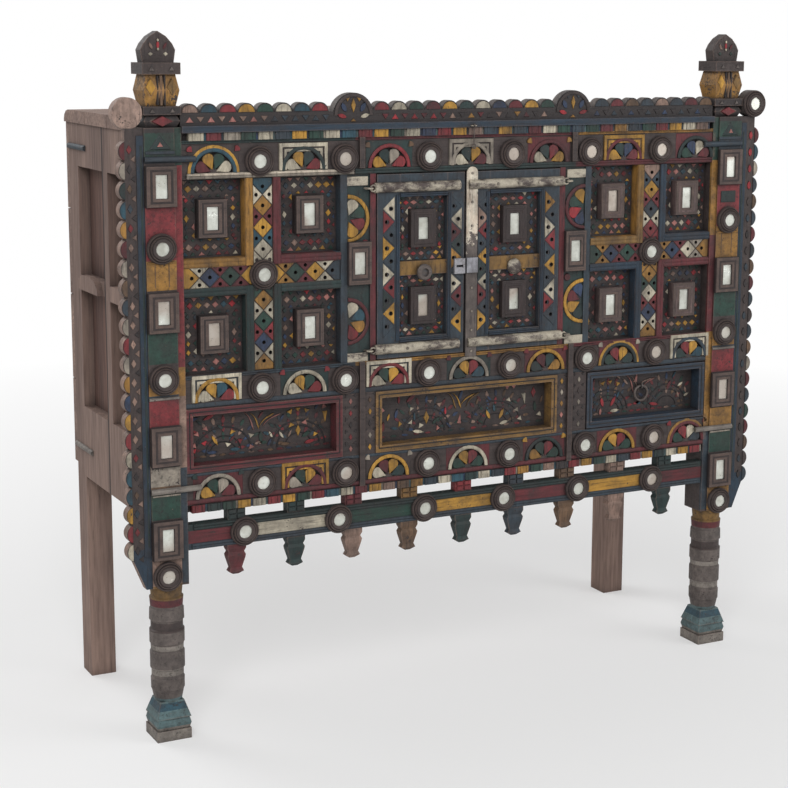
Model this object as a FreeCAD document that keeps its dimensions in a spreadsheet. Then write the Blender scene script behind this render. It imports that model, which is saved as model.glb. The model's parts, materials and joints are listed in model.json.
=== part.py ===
import FreeCAD, Part
import math
import os
import re

import Sketcher

# A carved and painted dowry chest on four legs: an open frame of posts and
# rails, fixed carved bays either side of a pair of doors, a drawer below on
# the right, turned front legs, finials and a scalloped crest.
# The front faces -Y, and the chest stands on z = 0.

Vector = FreeCAD.Vector
Rotation = FreeCAD.Rotation
doc = FreeCAD.newDocument("DowryChest")

sizes = (
    # name, millimetres, what it is
    ("overall_width", 1400, "over the outer faces of the posts"),
    ("carcass_depth", 490, "front face of the front posts to back face of the rear posts"),
    ("post_width", 76, "front post, along the front"),
    ("post_depth", 66, "front post, front to back"),
    ("post_top_drop", 2, "top of the square posts below the top of the cornice"),
    ("leg_height", 321, "floor to the underside of the square post"),
    ("bead_width", 15, "bead cut down the inner edge of a front post"),
    ("bead_depth", 3, "how far the bead lies behind the post's face"),
    ("foot_width", 72, "square foot under a turned leg"),
    ("foot_block_height", 22, "plain bottom block of the foot"),
    ("foot_step_height", 12, "each of the two steps above the block"),
    ("foot_step_inset", 3, "how far the first step draws in"),
    ("foot_flare_height", 34, "flared top of the foot"),
    ("foot_neck_width", 50, "square at the top of the flare"),
    ("leg_radius", 36, "widest turned drum"),
    ("rear_post_width", 55, "rear post, along the back"),
    ("rear_post_depth", 60, "rear post, front to back"),
    ("rear_post_drop", 10, "top of the rear posts below the top of the front posts"),
    # Courses of the front, from the bottom upwards.
    ("bottom_rail_drop", 68, "underside of the square post to the bottom rail"),
    ("bottom_rail_height", 52, ""),
    ("bottom_rail_thickness", 22, "also of the spacers on it and the pendants under it"),
    ("spacer_height", 23.5, "open gap over the bottom rail"),
    ("dentil_height", 15.5, ""),
    ("lower_rail_height", 66, "rail with the lowest row of arches"),
    ("row_height", 129, "row of the drawer and the two fixed panels"),
    ("mid_rail_height", 66.5, "rail with the middle row of arches"),
    ("bay_height", 384, "doors and carved bays"),
    ("frieze_height", 74, "rail with the top row of arches"),
    ("cornice_height", 13, ""),
    ("crest_band_height", 23.5, ""),
    ("rail_thickness", 40, ""),
    ("rail_setback", 6, "rails behind the posts' front face"),
    ("rail_foot_band", 12, "plain moulding under a row of arches"),
    ("left_bay_percent", 51.5, "the left bay's part of the width that the two bays share"),
    ("jamb_column", 51, "carved column beside the doors"),
    ("jamb_stile", 13, "strip between column and door"),
    ("bay_stile", 15, "strip between column and bay"),
    ("column_setback", 3, "column behind its strips"),
    ("stop_width", 9, "door stop on a jamb"),
    ("stop_gap", 0.5, "closed door to its stop"),
    ("lattice_width", 42, "pierced strip in a bay"),
    ("lattice_setback", 3, "lattice behind the mouldings"),
    ("lattice_pitch", 43, "from one diamond to the next"),
    ("bay_moulding", 17, ""),
    ("band_height", 40, "level pierced band of a bay"),
    ("stile_hole_pitch", 27, "holes down a door stile"),
    ("stile_hole_offset", 6, "hole beside the middle of its stile"),
    ("hole_radius", 3.8, "drilled hole in a lattice or stile"),
    ("hole_depth", 8, ""),
    ("panel_thickness", 12, "every carved panel"),
    ("bay_panel_setback", 30, "bay panel behind the posts' face"),
    ("row_panel_setback", 34, "row panel behind the posts' face"),
    ("row_frame_width", 14, "moulded frame round a row panel"),
    ("row_frame_setback", 3, ""),
    ("upright_width", 76, "upright between two row panels"),
    ("batten_width", 12, "batten down the face of an upright"),
    ("arch_radius", 40, "recess of one arch"),
    ("arch_depth", 6, ""),
    ("arch_end_gap", 45.5, "post to the centre of the last arch"),
    ("petal_reach", 37, "centre of the fan to the end of a petal"),
    ("petal_radius", 8.5, "round end of a petal"),
    ("petal_boss_radius", 9, "where the petals meet"),
    ("dentil_gap", 5, "between two teeth of a row"),
    ("dentil_depth", 14, ""),
    ("dentil_lead", 4, "dentils in front of the rails' face"),
    ("upper_dentil_pitch", 36, ""),
    ("lower_dentil_pitch", 32.5, ""),
    ("cornice_lead", 8, "cornice in front of the rails' face"),
    ("spacer_width", 38, ""),
    ("pendant_end_gap", 104, "post to the centre of the last pendant"),
    ("pendant_width", 40, ""),
    ("pendant_height", 64, ""),
    ("roundel_radius", 30, ""),
    ("roundel_thickness", 12, ""),
    ("roundel_glass_radius", 13.5, ""),
    ("glass_recess", 4, "mirror face below its frame's face"),
    ("glass_thickness", 2, ""),
    ("glass_width", 24, "upright mirror"),
    ("glass_height", 46, "upright mirror"),
    ("glass_gap", 0.2, "mirror in its pocket"),
    ("post_frame_width", 60, "mirror block on a post"),
    ("post_frame_height", 77, ""),
    ("post_frame_thickness", 9, ""),
    ("bay_frame_width", 58, "mirror block in a bay"),
    ("bay_frame_height", 74, ""),
    ("bay_frame_thickness", 20, ""),
    ("jamb_frame_width", 50, "mirror block on a jamb"),
    ("jamb_frame_height", 86, ""),
    ("jamb_frame_thickness", 12, ""),
    ("door_frame_width", 56, "mirror block on a door"),
    ("door_frame_height", 76, ""),
    ("door_frame_thickness", 13, ""),
    ("crest_thickness", 22, ""),
    ("crest_setback", 8, ""),
    ("scallop_pitch", 39, "crest"),
    ("scallop_rise", 19, "crest"),
    ("rosette_radius", 45, "half round standing in the crest"),
    ("rosette_drop", 15, "its centre above the cornice"),
    ("rosette_end_gap", 365.5, "post to the centre of the half round"),
    ("wing_width", 50, "board outside each front post"),
    ("wing_thickness", 22, ""),
    ("wing_setback", 2, ""),
    ("wing_scallop_pitch", 37.3, ""),
    ("wing_scallop_depth", 13, ""),
    ("wing_taper", 60, "height of the slanting foot of a wing"),
    ("wing_head_radius", 30, "disc at the top of a wing"),
    ("wing_head_rise", 28, "its centre above the post"),
    ("wing_head_lead", 6, "its centre outside the middle of the wing"),
    # Finials.
    ("finial_neck", 60, "ends of the bead and of the facetted body"),
    ("finial_inset", 4, "their middles less wide than the post"),
    ("finial_bead_height", 24, ""),
    ("finial_collar_height", 16, ""),
    ("finial_body_height", 60, ""),
    ("finial_cap_height", 22, ""),
    ("bud_height", 59, ""),
    ("bud_foot_width", 60, ""),
    ("bud_thickness", 28, ""),
    # Sides, back, top and bottom.
    ("side_frame_thickness", 36, ""),
    ("side_panel_setback", 24, ""),
    ("side_top_rail", 90, ""),
    ("side_bottom_rail", 156, ""),
    ("side_bottom_rise", 133, "square post's underside to the side's bottom rail"),
    ("side_mid_rise", 128, "bottom of the bays to the side's middle rail"),
    ("side_mid_rail", 26, ""),
    ("side_mid_proud", 12, "carved side rail in front of the frame"),
    ("side_mid_gap", 14, "plain end of a carved side rail"),
    ("muntin_width", 34, ""),
    ("board_thickness", 18, "floor, drawer case"),
    ("floor_rise", 25, "lower dentils to the underside of the floor boards"),
    ("back_board", 20, "thickness of a back board"),
    ("back_drop", 14, "back boards below the floor boards"),
    ("back_rail_height", 70, ""),
    ("top_board", 26, ""),
    ("top_side_lip", 4, "top boards over the sides"),
    ("plank_gap", 2, "between two planks"),
    # Doors.
    ("door_thickness", 28, ""),
    ("door_setback", 4, "door faces behind the posts' face"),
    ("door_gap", 2, "round the pair of doors"),
    ("meeting_gap", 4, "between the two doors"),
    ("left_door_width", 202, ""),
    ("right_door_width", 228, ""),
    ("left_hinge_stile", 52, ""),
    ("left_meeting_stile", 40, ""),
    ("right_hinge_stile", 47, ""),
    ("right_meeting_stile", 57, ""),
    ("door_top_rail", 46, ""),
    ("door_mid_rail", 29, ""),
    ("door_mid_setback", 5, "middle rail behind the door's face"),
    ("door_bottom_rail", 42, ""),
    ("door_panel_setback", 14, "panel behind the door's face"),
    ("bar_radius", 10.5, "half-round iron bar"),
    ("upper_bar_drop", 27, "top of the door to the upper bar"),
    ("lower_bar_rise", 20, "bottom of the door to the lower bar"),
    ("left_bar_length", 196, ""),
    ("loop_radius", 6, "centre line of a hinge loop"),
    ("loop_wire", 1.8, "radius of its wire"),
    ("loop_lap", 4, "hinge axis to the crossing wire of the other loop"),
    ("loop_shank", 2.2, "radius of the shank that goes into the jamb"),
    ("hinge_offset", 16, "hinge axis outside the door opening"),
    ("hinge_lead", 3, "hinge axis in front of the posts' face"),
    ("hinge_plate_width", 46, ""),
    ("hinge_plate_height", 18, ""),
    ("iron_thickness", 3, "straps and plates"),
    ("strap_width", 26, "upright strap on the right door"),
    ("strap_over", 10, "strap beyond the top and bottom of the door"),
    ("hasp_width", 25, ""),
    ("hasp_height", 32, ""),
    ("hasp_slot_width", 16, ""),
    ("hasp_slot_height", 5, ""),
    ("knob_radius", 17, ""),
    ("knob_thickness", 14, ""),
    # Drawer.
    ("drawer_gap", 2, "round the drawer's front"),
    ("drawer_board", 10, "side, back and bottom of the drawer"),
    ("drawer_length", 360, "box behind the front"),
    ("drawer_side_inset", 12, "box side behind the edge of the front"),
    ("runner_width", 30, ""),
    ("runner_gap", 0.3, "drawer over its runners"),
    ("ring_radius", 17, "centre line of the ring pull"),
    ("ring_wire", 3, ""),
    ("eye_radius", 5.5, "eye that holds the ring pull"),
    ("eye_wire", 1.8, ""),
    ("eye_shank", 1.6, "radius of the shank behind the eye"),
    ("eye_stand", 1, "eye in front of the panel"),
    # Irons.
    ("corner_bar_radius", 6, "half-round strap across a corner"),
    ("corner_bar_length", 102, ""),
    ("rear_bar_length", 116, ""),
    ("upper_corner_drop", 60, "top of the post to the upper strap"),
    ("lower_corner_rise", 37, "bottom of the lower rail to the lower strap"),
    ("middle_corner_rise", 27, "bottom of the middle rail to the thin strap"),
    ("catch_wire", 1.2, "radius of the wire of the door catch"),
    ("catch_stem", 1, "radius of the straight wire between its rings"),
    ("catch_length", 42, ""),
    ("catch_eye", 2.9, "centre line of the eye it hangs by"),
    ("catch_ring", 4.5, "centre line of the ring at its foot"),
    ("catch_stand", 5.5, "pin in front of the cornice"),
    ("catch_pin_length", 12, ""),
    ("overrun", 5, "cutters beyond what they cut"),
)

sheet = doc.addObject("Spreadsheet::Sheet", "Sizes")
known = {}
for row, (name, value, note) in enumerate(sizes, 1):
    sheet.set("A%d" % row, name)
    sheet.set("B%d" % row, str(value))
    sheet.setAlias("B%d" % row, name)
    sheet.set("C%d" % row, note)
    known[name] = "Sizes." + name
doc.recompute()

places = doc.addObject("App::VarSet", "Places")


def formula(text):
    """The text with every named size or place written out in full."""
    return re.sub(r"\b[a-z][a-z_]*\b", lambda word: known.get(word.group(0), word.group(0)), text)


def derive(name, text):
    """A place worked out from the sizes, kept in the document."""
    places.addProperty("App::PropertyFloat", name, "Places")
    places.setExpression(name, formula(text))
    known[name] = "Places." + name


def measure(text):
    """The present value of a formula, in millimetres."""
    return float(places.evalExpression(formula(text)))


derive("half_width", "overall_width / 2")
derive("opening_width", "left_door_width + right_door_width + 2 * door_gap + meeting_gap")
derive("jamb_width", "bay_stile + jamb_column + jamb_stile")
derive("arch_pitch", "(half_width - post_width - middle_x - arch_end_gap) / 3")
derive("pendant_pitch", "(half_width - post_width - pendant_end_gap) / 4")
derive("rosette_spacing", "2 * (half_width - post_width - rosette_end_gap)")
derive("bays_width", "overall_width - 2 * post_width - 2 * jamb_width - opening_width")
derive("left_bay_width", "bays_width * left_bay_percent / 100")
derive("right_bay_width", "bays_width - left_bay_width")
derive("face_y", "roundel_thickness - (carcass_depth + back_board + roundel_thickness) / 2")
derive("rail_y", "face_y + rail_setback")
derive("rail_back_y", "rail_y + rail_thickness")
derive("rear_y", "face_y + carcass_depth")
derive("rear_post_y", "rear_y - rear_post_depth")
derive("side_y", "face_y + post_depth")
derive("left_bay_x", "post_width - half_width")
derive("left_jamb_x", "left_bay_x + left_bay_width")
derive("left_opening_x", "left_jamb_x + jamb_width")
derive("right_post_x", "half_width - post_width")
derive("right_bay_x", "right_post_x - right_bay_width")
derive("right_opening_x", "right_bay_x - jamb_width")
derive("middle_x", "(left_opening_x + right_opening_x) / 2")
derive("bottom_rail_z", "leg_height + bottom_rail_drop")
derive("spacer_z", "bottom_rail_z + bottom_rail_height")
derive("lower_dentil_z", "spacer_z + spacer_height")
derive("lower_rail_z", "lower_dentil_z + dentil_height")
derive("row_z", "lower_rail_z + lower_rail_height")
derive("mid_rail_z", "row_z + row_height")
derive("bay_z", "mid_rail_z + mid_rail_height")
derive("frieze_z", "bay_z + bay_height")
derive("upper_dentil_z", "frieze_z + frieze_height")
derive("cornice_z", "upper_dentil_z + dentil_height")
derive("crest_z", "cornice_z + cornice_height")
derive("post_height", "crest_z - post_top_drop")
derive("rear_post_height", "post_height - rear_post_drop")
derive("upper_corner_z", "post_height - upper_corner_drop")
derive("lower_corner_z", "lower_rail_z + lower_corner_rise")
derive("middle_corner_z", "mid_rail_z + middle_corner_rise")
derive("side_bottom_z", "leg_height + side_bottom_rise")
derive("side_mid_z", "bay_z + side_mid_rise")
derive("floor_z", "lower_dentil_z + floor_rise")
derive("back_low_z", "floor_z - back_drop")
derive("lower_arch_z", "lower_rail_z + rail_foot_band")
derive("mid_arch_z", "mid_rail_z + rail_foot_band")
derive("frieze_arch_z", "frieze_z + rail_foot_band")
derive("door_z", "bay_z + door_gap")
derive("door_height", "bay_height - 2 * door_gap")
derive("left_door_x", "left_opening_x + door_gap")
derive("right_door_x", "left_door_x + left_door_width + meeting_gap")
derive("door_y", "face_y + door_setback")
derive("hinge_y", "face_y - hinge_lead")
derive("left_hinge_x", "left_opening_x - hinge_offset")
derive("right_hinge_x", "right_opening_x + hinge_offset")
derive("upper_bar_z", "door_z + door_height - upper_bar_drop")
derive("lower_bar_z", "door_z + lower_bar_rise")
derive("panel_height", "(door_height - door_top_rail - door_mid_rail - door_bottom_rail) * 0.515")
derive("door_mid_z", "door_z + door_height - door_top_rail - panel_height - door_mid_rail")
derive("left_upright_x", "left_jamb_x + bay_stile + jamb_column / 2 - upright_width / 2")
derive("right_upright_x", "right_bay_x - bay_stile - jamb_column / 2 - upright_width / 2")
derive("side_top_z", "rear_post_height - side_top_rail")
derive("side_length", "rear_post_y - side_y")
derive("floor_top_z", "floor_z + board_thickness")
derive("drawer_case_x", "right_upright_x + upright_width / 2 - board_thickness")
derive("drawer_front_x", "right_upright_x + upright_width + drawer_gap")
derive("drawer_front_width", "right_post_x - drawer_gap - drawer_front_x")
derive("drawer_front_z", "row_z + drawer_gap")
derive("drawer_front_height", "row_height - 2 * drawer_gap")
derive("row_panel_y", "face_y + row_panel_setback")
derive("row_back_y", "row_panel_y + panel_thickness")
derive("eye_y", "row_panel_y - eye_stand - eye_radius - eye_wire")
derive("eye_x", "drawer_front_x + drawer_front_width / 2")
derive("eye_z", "drawer_front_z + drawer_front_height / 2 + ring_radius")
derive("catch_y", "rail_y - cornice_lead - catch_stand")
derive("catch_z", "cornice_z + cornice_height / 4")
doc.recompute()

nodes = []


def keep(thing, label):
    """Names a finished piece and puts it on the list of files to write."""
    thing.Label = label
    nodes.append(thing)
    return thing


def place(thing, x, y, z):
    for key, text in (("x", x), ("y", y), ("z", z)):
        thing.setExpression("Placement.Base." + key, formula(text))
    return thing


def box(name, x, y, z, wide, deep, high):
    thing = doc.addObject("Part::Box", name)
    for key, text in (("Length", wide), ("Width", deep), ("Height", high)):
        thing.setExpression(key, formula(text))
    return place(thing, x, y, z)


def rod(name, x, y, z, radius, length, axis):
    """A cylinder from a point, along one of the axes."""
    thing = doc.addObject("Part::Cylinder", name)
    thing.Placement = FreeCAD.Placement(Vector(), Rotation(Vector(0, 0, 1), axis))
    thing.setExpression("Radius", formula(radius))
    thing.setExpression("Height", formula(length))
    return place(thing, x, y, z)


def ring(name, x, y, z, radius, wire, axis):
    thing = doc.addObject("Part::Torus", name)
    thing.Placement = FreeCAD.Placement(Vector(), Rotation(Vector(0, 0, 1), axis))
    thing.setExpression("Radius1", formula(radius))
    thing.setExpression("Radius2", formula(wire))
    return place(thing, x, y, z)


along_x = Vector(1, 0, 0)
along_y = Vector(0, 1, 0)
along_z = Vector(0, 0, 1)


def group(name, parts):
    thing = doc.addObject("Part::Compound", name)
    thing.Links = parts
    return thing


def fuse(name, parts):
    thing = doc.addObject("Part::MultiFuse", name)
    thing.Shapes = parts
    thing.Refine = True
    return thing


def cut(name, base, tool):
    thing = doc.addObject("Part::Cut", name)
    thing.Base = base
    thing.Tool = tool
    return thing


def common(name, base, tool):
    thing = doc.addObject("Part::Common", name)
    thing.Base = base
    thing.Tool = tool
    return thing


def copies(name, master, spots):
    """One object holding a copy of the master's shape at each of the spots."""
    doc.recompute()
    shapes = []
    for spot in spots:
        shape = master.Shape.copy()
        shape.translate(Vector(*[measure(text) for text in spot]))
        shapes.append(shape)
    thing = doc.addObject("Part::Feature", name)
    thing.Shape = Part.makeCompound(shapes)
    return thing


def new_body(name):
    return doc.addObject("PartDesign::Body", name)


def origin_plane(body, role):
    return next(item for item in body.Origin.OriginFeatures if item.Role == role)


def outline(body, name, role, points, offset=("0", "0", "0")):
    """A closed outline of straight lines, each corner bound to its two formulas."""
    sketch = body.newObject("Sketcher::SketchObject", name)
    sketch.AttachmentSupport = [(origin_plane(body, role), "")]
    sketch.MapMode = "FlatFace"
    for key, text in zip("xyz", offset):
        if text != "0":
            sketch.setExpression("AttachmentOffset.Base." + key, formula(text))
    now = [Vector(measure(x), measure(y), 0) for x, y in points]
    count = len(points)
    for index in range(count):
        sketch.addGeometry(Part.LineSegment(now[index], now[(index + 1) % count]))
    for index in range(count):
        sketch.addConstraint(Sketcher.Constraint("Coincident", index, 2, (index + 1) % count, 1))
    for index, (x, y) in enumerate(points):
        ties = (("DistanceX", x, now[index].x, -2), ("DistanceY", y, now[index].y, -1))
        for kind, text, value, axis in ties:
            if text == "0":
                sketch.addConstraint(Sketcher.Constraint("PointOnObject", index, 1, axis))
            else:
                which = sketch.addConstraint(Sketcher.Constraint(kind, -1, 1, index, 1, value))
                sketch.setExpression("Constraints[%d]" % which, formula(text))
    return sketch


def rectangle(body, name, role, wide, high, offset=("0", "0", "0")):
    corners = (("0", "0"), (wide, "0"), (wide, high), ("0", high))
    return outline(body, name, role, corners, offset)


def pad(body, name, sketch, length, backwards=False):
    feature = body.newObject("PartDesign::Pad", name)
    feature.Profile = sketch
    feature.Reversed = backwards
    feature.setExpression("Length", formula(length))
    return feature


def pocket(body, name, sketch, length, backwards=False):
    """A pocket that is checked to take something away."""
    doc.recompute()
    before = body.Shape.Volume
    feature = body.newObject("PartDesign::Pocket", name)
    feature.Profile = sketch
    feature.Reversed = backwards
    feature.setExpression("Length", formula(length))
    doc.recompute()
    if body.Shape.Volume >= before:
        raise RuntimeError(name + " cuts nothing")
    return feature


def revolve(body, name, sketch):
    feature = body.newObject("PartDesign::Revolution", name)
    feature.Profile = sketch
    feature.ReferenceAxis = (sketch, ["V_Axis"])
    feature.Angle = 360
    return feature


def block_loft(body, name, sections, thinner="0"):
    """A loft through blocks (width, height) centred on a post, each thinner than wide by one amount."""
    sketches = []
    for index, (wide, height) in enumerate(sections):
        deep = "(%s - %s)" % (wide, thinner)
        offset = ("(post_width - %s) / 2" % wide, "(post_depth - %s) / 2" % deep, height)
        sketches.append(rectangle(body, "%s_section_%d" % (name, index), "XY_Plane", wide, deep, offset))
    feature = body.newObject("PartDesign::AdditiveLoft", name)
    feature.Profile = sketches[0]
    feature.Sections = sketches[1:]
    feature.Ruled = True
    return feature


# Turned front legs. Each pair is a share of the turned height, from the foot
# upwards, and a share of the widest radius.
leg_shares = (
    (0, 0.78), (0.09, 0.9), (0.1, 0.94), (0.19, 0.95), (0.2, 0.9), (0.27, 0.9), (0.28, 0.97),
    (0.42, 0.97), (0.43, 0.91), (0.49, 0.93), (0.5, 0.98), (0.61, 0.98), (0.62, 0.9), (0.69, 0.9),
    (0.7, 0.98), (0.79, 0.96), (0.8, 0.9), (0.89, 0.95), (0.9, 0.86), (0.96, 0.9), (1, 0.92),
)


def front_post(label, x, bead_x):
    body = new_body(label)
    place(body, x, "face_y", "0")
    square = rectangle(body, label + "_square", "XY_Plane", "post_width", "post_depth",
                       ("0", "0", "leg_height"))
    pad(body, label + "_stem", square, "post_height - leg_height")
    foot_top = "(foot_block_height + 2 * foot_step_height + foot_flare_height)"
    first_step = "(foot_width - 2 * foot_step_inset)"
    step_z = "foot_block_height"
    flare_z = "(foot_block_height + 2 * foot_step_height)"
    block_loft(body, label + "_foot", (("foot_width", "0"), ("foot_width", step_z)))
    block_loft(body, label + "_steps", ((first_step, step_z), ("foot_width", step_z + " + foot_step_height"),
                                        (first_step, flare_z)))
    block_loft(body, label + "_flare", (("foot_width", flare_z), ("foot_neck_width", foot_top)))
    turned = "(leg_height - %s)" % foot_top
    points = [("0", foot_top)]
    points += [("leg_radius * %g" % radius_share, "%s + %s * %g" % (foot_top, turned, height_share))
               for height_share, radius_share in leg_shares]
    points += [("0", "leg_height")]
    centre = ("post_width / 2", "0", "-post_depth / 2")
    profile = outline(body, label + "_profile", "XZ_Plane", points, centre)
    revolve(body, label + "_turning", profile)
    bead = rectangle(body, label + "_bead_line", "XZ_Plane", "bead_width", "post_height - leg_height",
                     (bead_x, "leg_height", "0"))
    pocket(body, label + "_bead", bead, "bead_depth")
    return keep(body, label)


front_post("left_front_post", "-half_width", "post_width - bead_width")
front_post("right_front_post", "right_post_x", "0")

# The bud is an outline in shares of its foot width and of its height.
bud_shares = ((-0.02, 0), (1.02, 0), (1.08, 0.4), (0.98, 0.6), (0.78, 0.83), (0.5, 1),
              (0.22, 0.83), (0.02, 0.6), (-0.08, 0.4))


def finial(label, x):
    body = new_body(label)
    place(body, x, "face_y", "post_height")
    middle_side = "(post_width - finial_inset)"
    thinner = "(post_width - post_depth)"
    level = "finial_bead_height"
    block_loft(body, label + "_bead", (("finial_neck", "0"), (middle_side, level + " / 2"),
                                       ("finial_neck", level)), thinner)
    whole_post = ("post_width", "post_depth")
    collar = rectangle(body, label + "_collar_line", "XY_Plane", *whole_post, ("0", "0", level))
    pad(body, label + "_collar", collar, "finial_collar_height")
    level += " + finial_collar_height"
    body_levels = (("finial_neck", level), (middle_side, level + " + finial_body_height / 2"),
                   ("finial_neck", level + " + finial_body_height"))
    block_loft(body, label + "_body", body_levels, thinner)
    level += " + finial_body_height"
    cap = rectangle(body, label + "_cap_line", "XY_Plane", *whole_post, ("0", "0", level))
    pad(body, label + "_cap", cap, "finial_cap_height")
    level += " + finial_cap_height"
    points = [("bud_foot_width * %g" % (across + 0.2), "bud_height * %g" % up if up else "0")
              for across, up in bud_shares]
    offset = ("post_width / 2 - bud_foot_width * 0.7", level, "-(post_depth + bud_thickness) / 2")
    bud = outline(body, label + "_bud_line", "XZ_Plane", points, offset)
    pad(body, label + "_bud", bud, "bud_thickness")
    return keep(body, label)


finial("left_finial", "-half_width")
finial("right_finial", "right_post_x")

for label, x in (("left_rear_post", "-half_width"), ("right_rear_post", "half_width - rear_post_width")):
    keep(box(label, x, "rear_post_y", "0", "rear_post_width", "rear_post_depth", "rear_post_height"), label)


def wing(label, side):
    """A scalloped board outside a post. Its local x runs outwards from the post."""
    body = new_body(label + "_body")
    inner = "(wing_width - wing_scallop_depth)"
    points = (("0", "0"), (inner + " / 3", "0"), (inner, "wing_taper"), (inner, "post_height - leg_height"),
              ("0", "post_height - leg_height"))
    pad(body, label + "_board", outline(body, label + "_line", "XZ_Plane", points), "wing_thickness",
        backwards=True)
    circle_radius = "((wing_scallop_pitch / 2)^2 + wing_scallop_depth^2) / (2 * wing_scallop_depth)"
    scallop = body.newObject("Sketcher::SketchObject", label + "_scallop_line")
    scallop.AttachmentSupport = [(origin_plane(body, "XZ_Plane"), "")]
    scallop.MapMode = "FlatFace"
    start = "wing_taper + wing_scallop_pitch / 2"
    radius = measure(circle_radius)
    centre = Vector(measure("wing_width") - radius, measure(start), 0)
    scallop.addGeometry(Part.Circle(centre, along_z, radius))
    for kind, arguments, text in (("Radius", (0,), circle_radius),
                                  ("DistanceX", (-1, 1, 0, 3), "wing_width - " + circle_radius),
                                  ("DistanceY", (-1, 1, 0, 3), start)):
        which = scallop.addConstraint(Sketcher.Constraint(kind, *arguments, measure(text)))
        scallop.setExpression("Constraints[%d]" % which, formula(text))
    first = pad(body, label + "_scallop", scallop, "wing_thickness", backwards=True)
    rows = int(measure("(post_height - leg_height - wing_taper) / wing_scallop_pitch"))
    pattern = body.newObject("PartDesign::LinearPattern", label + "_scallops")
    pattern.Originals = [first]
    pattern.Direction = (scallop, ["V_Axis"])
    pattern.Occurrences = rows
    pattern.setExpression("Length", formula("wing_scallop_pitch * %d" % (rows - 1)))
    body.Tip = pattern
    board = body
    if side < 0:
        board.Placement = FreeCAD.Placement(Vector(), Rotation(along_z, 180))
        place(board, "-half_width", "face_y + wing_setback + wing_thickness", "leg_height")
    else:
        place(board, "half_width", "face_y + wing_setback", "leg_height")
    sign = "-" if side < 0 else ""
    head_x = "%s(half_width + wing_width / 2 + wing_head_lead)" % sign
    head = rod(label + "_head", head_x, "face_y + wing_setback",
               "post_height + wing_head_rise", "wing_head_radius", "wing_thickness", along_y)
    reach = "wing_head_radius"
    trim_x = "-half_width" if side < 0 else "half_width - " + reach
    trim = box(label + "_trim", trim_x, "face_y", "post_height",
               reach, "wing_thickness + 2 * overrun", "3 * wing_head_radius")
    return keep(cut(label + "_whole", fuse(label + "_joined", [board, head]), trim), label)


wing("left_wing", -1)
wing("right_wing", 1)


def petal_fan(depth):
    """Four petals of a half-round fan, spread over its half circle, and the boss that they spring from."""
    reach = measure("petal_reach")
    radius = measure("petal_radius")
    count = 4
    fan = [Part.makeCylinder(measure("petal_boss_radius"), depth, Vector(), along_y)]
    for index in range(count):
        angle = math.pi * (index + 0.5) / count
        out = Vector(math.cos(angle), 0, math.sin(angle))
        side = Vector(-out.z, 0, out.x)
        centre = out * (reach - radius)
        tip = Part.makeCylinder(radius, depth, centre, along_y)
        corners = [Vector(), centre + side * radius, centre - side * radius, Vector()]
        fan.append(tip.fuse(Part.Face(Part.makePolygon(corners)).extrude(along_y * depth)))
    return fan


def arch_cutters(name, base_z):
    """The recesses of a row of arches, with the petals left standing."""
    radius = measure("arch_radius")
    depth = measure("arch_depth")
    arc = Part.Arc(Vector(radius, 0, 0), Vector(0, 0, radius), Vector(-radius, 0, 0)).toShape()
    line = Part.makeLine(Vector(-radius, 0, 0), Vector(radius, 0, 0))
    recess = Part.Face(Part.Wire([arc, line])).extrude(along_y * depth)
    for petal in petal_fan(depth):
        recess = recess.cut(petal)
    master = doc.addObject("Part::Feature", name + "_one")
    master.Shape = recess
    spots = [("middle_x + arch_pitch * %d" % step, "rail_y", base_z) for step in range(-3, 4)]
    return copies(name, master, spots)


def arched_rail(label, low_z, height, arch_z):
    rail = box(label + "_plain", "left_bay_x", "rail_y", low_z,
               "right_post_x - left_bay_x", "rail_thickness", height)
    return cut(label + "_carved", rail, arch_cutters(label + "_arches", arch_z))


def backing(label, low_z):
    """The strip behind a row of dentils."""
    setback = "(dentil_depth - dentil_lead)"
    return box(label, "left_bay_x", "rail_y + " + setback, low_z,
               "right_post_x - left_bay_x", "rail_thickness - " + setback, "dentil_height")


frieze = arched_rail("frieze", "frieze_z", "frieze_height", "frieze_arch_z")
keep(fuse("frieze_whole", [frieze, backing("frieze_backing", "upper_dentil_z")]), "frieze_rail")
keep(arched_rail("middle", "mid_rail_z", "mid_rail_height", "mid_arch_z"), "middle_rail")
lower = arched_rail("lower", "lower_rail_z", "lower_rail_height", "lower_arch_z")
keep(fuse("lower_whole", [lower, backing("lower_backing", "lower_dentil_z")]), "lower_rail")
keep(box("bottom", "left_bay_x", "rail_y", "bottom_rail_z",
         "right_post_x - left_bay_x", "bottom_rail_thickness", "bottom_rail_height"), "bottom_rail")
keep(box("cornice", "left_bay_x", "rail_y - cornice_lead", "cornice_z",
         "right_post_x - left_bay_x", "rail_thickness + cornice_lead", "cornice_height"), "cornice")


def dentils(label, low_z, pitch):
    width = "(%s - dentil_gap)" % pitch
    block = box(label + "_one", "0", "0", "0", width, "dentil_depth", "dentil_height")
    count = int(measure("(right_post_x - left_bay_x) / " + pitch))
    first = "left_bay_x + (right_post_x - left_bay_x - %s * %d) / 2 - %s / 2" % (pitch, count - 1, width)
    spots = [("%s + %s * %d" % (first, pitch, index), "rail_y - dentil_lead", low_z)
             for index in range(count)]
    return keep(copies(label + "_row", block, spots), label)


dentils("upper_dentils", "upper_dentil_z", "upper_dentil_pitch")
dentils("lower_dentils", "lower_dentil_z", "lower_dentil_pitch")

pendant_steps = range(-4, 5)


def spacer_blocks():
    block = box("spacer_one", "-spacer_width / 2", "0", "0",
                "spacer_width", "bottom_rail_thickness", "spacer_height")
    spots = [("pendant_pitch * %d" % step, "rail_y", "spacer_z") for step in pendant_steps]
    return keep(copies("spacer_row", block, spots), "spacer_blocks")


spacer_blocks()

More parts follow.
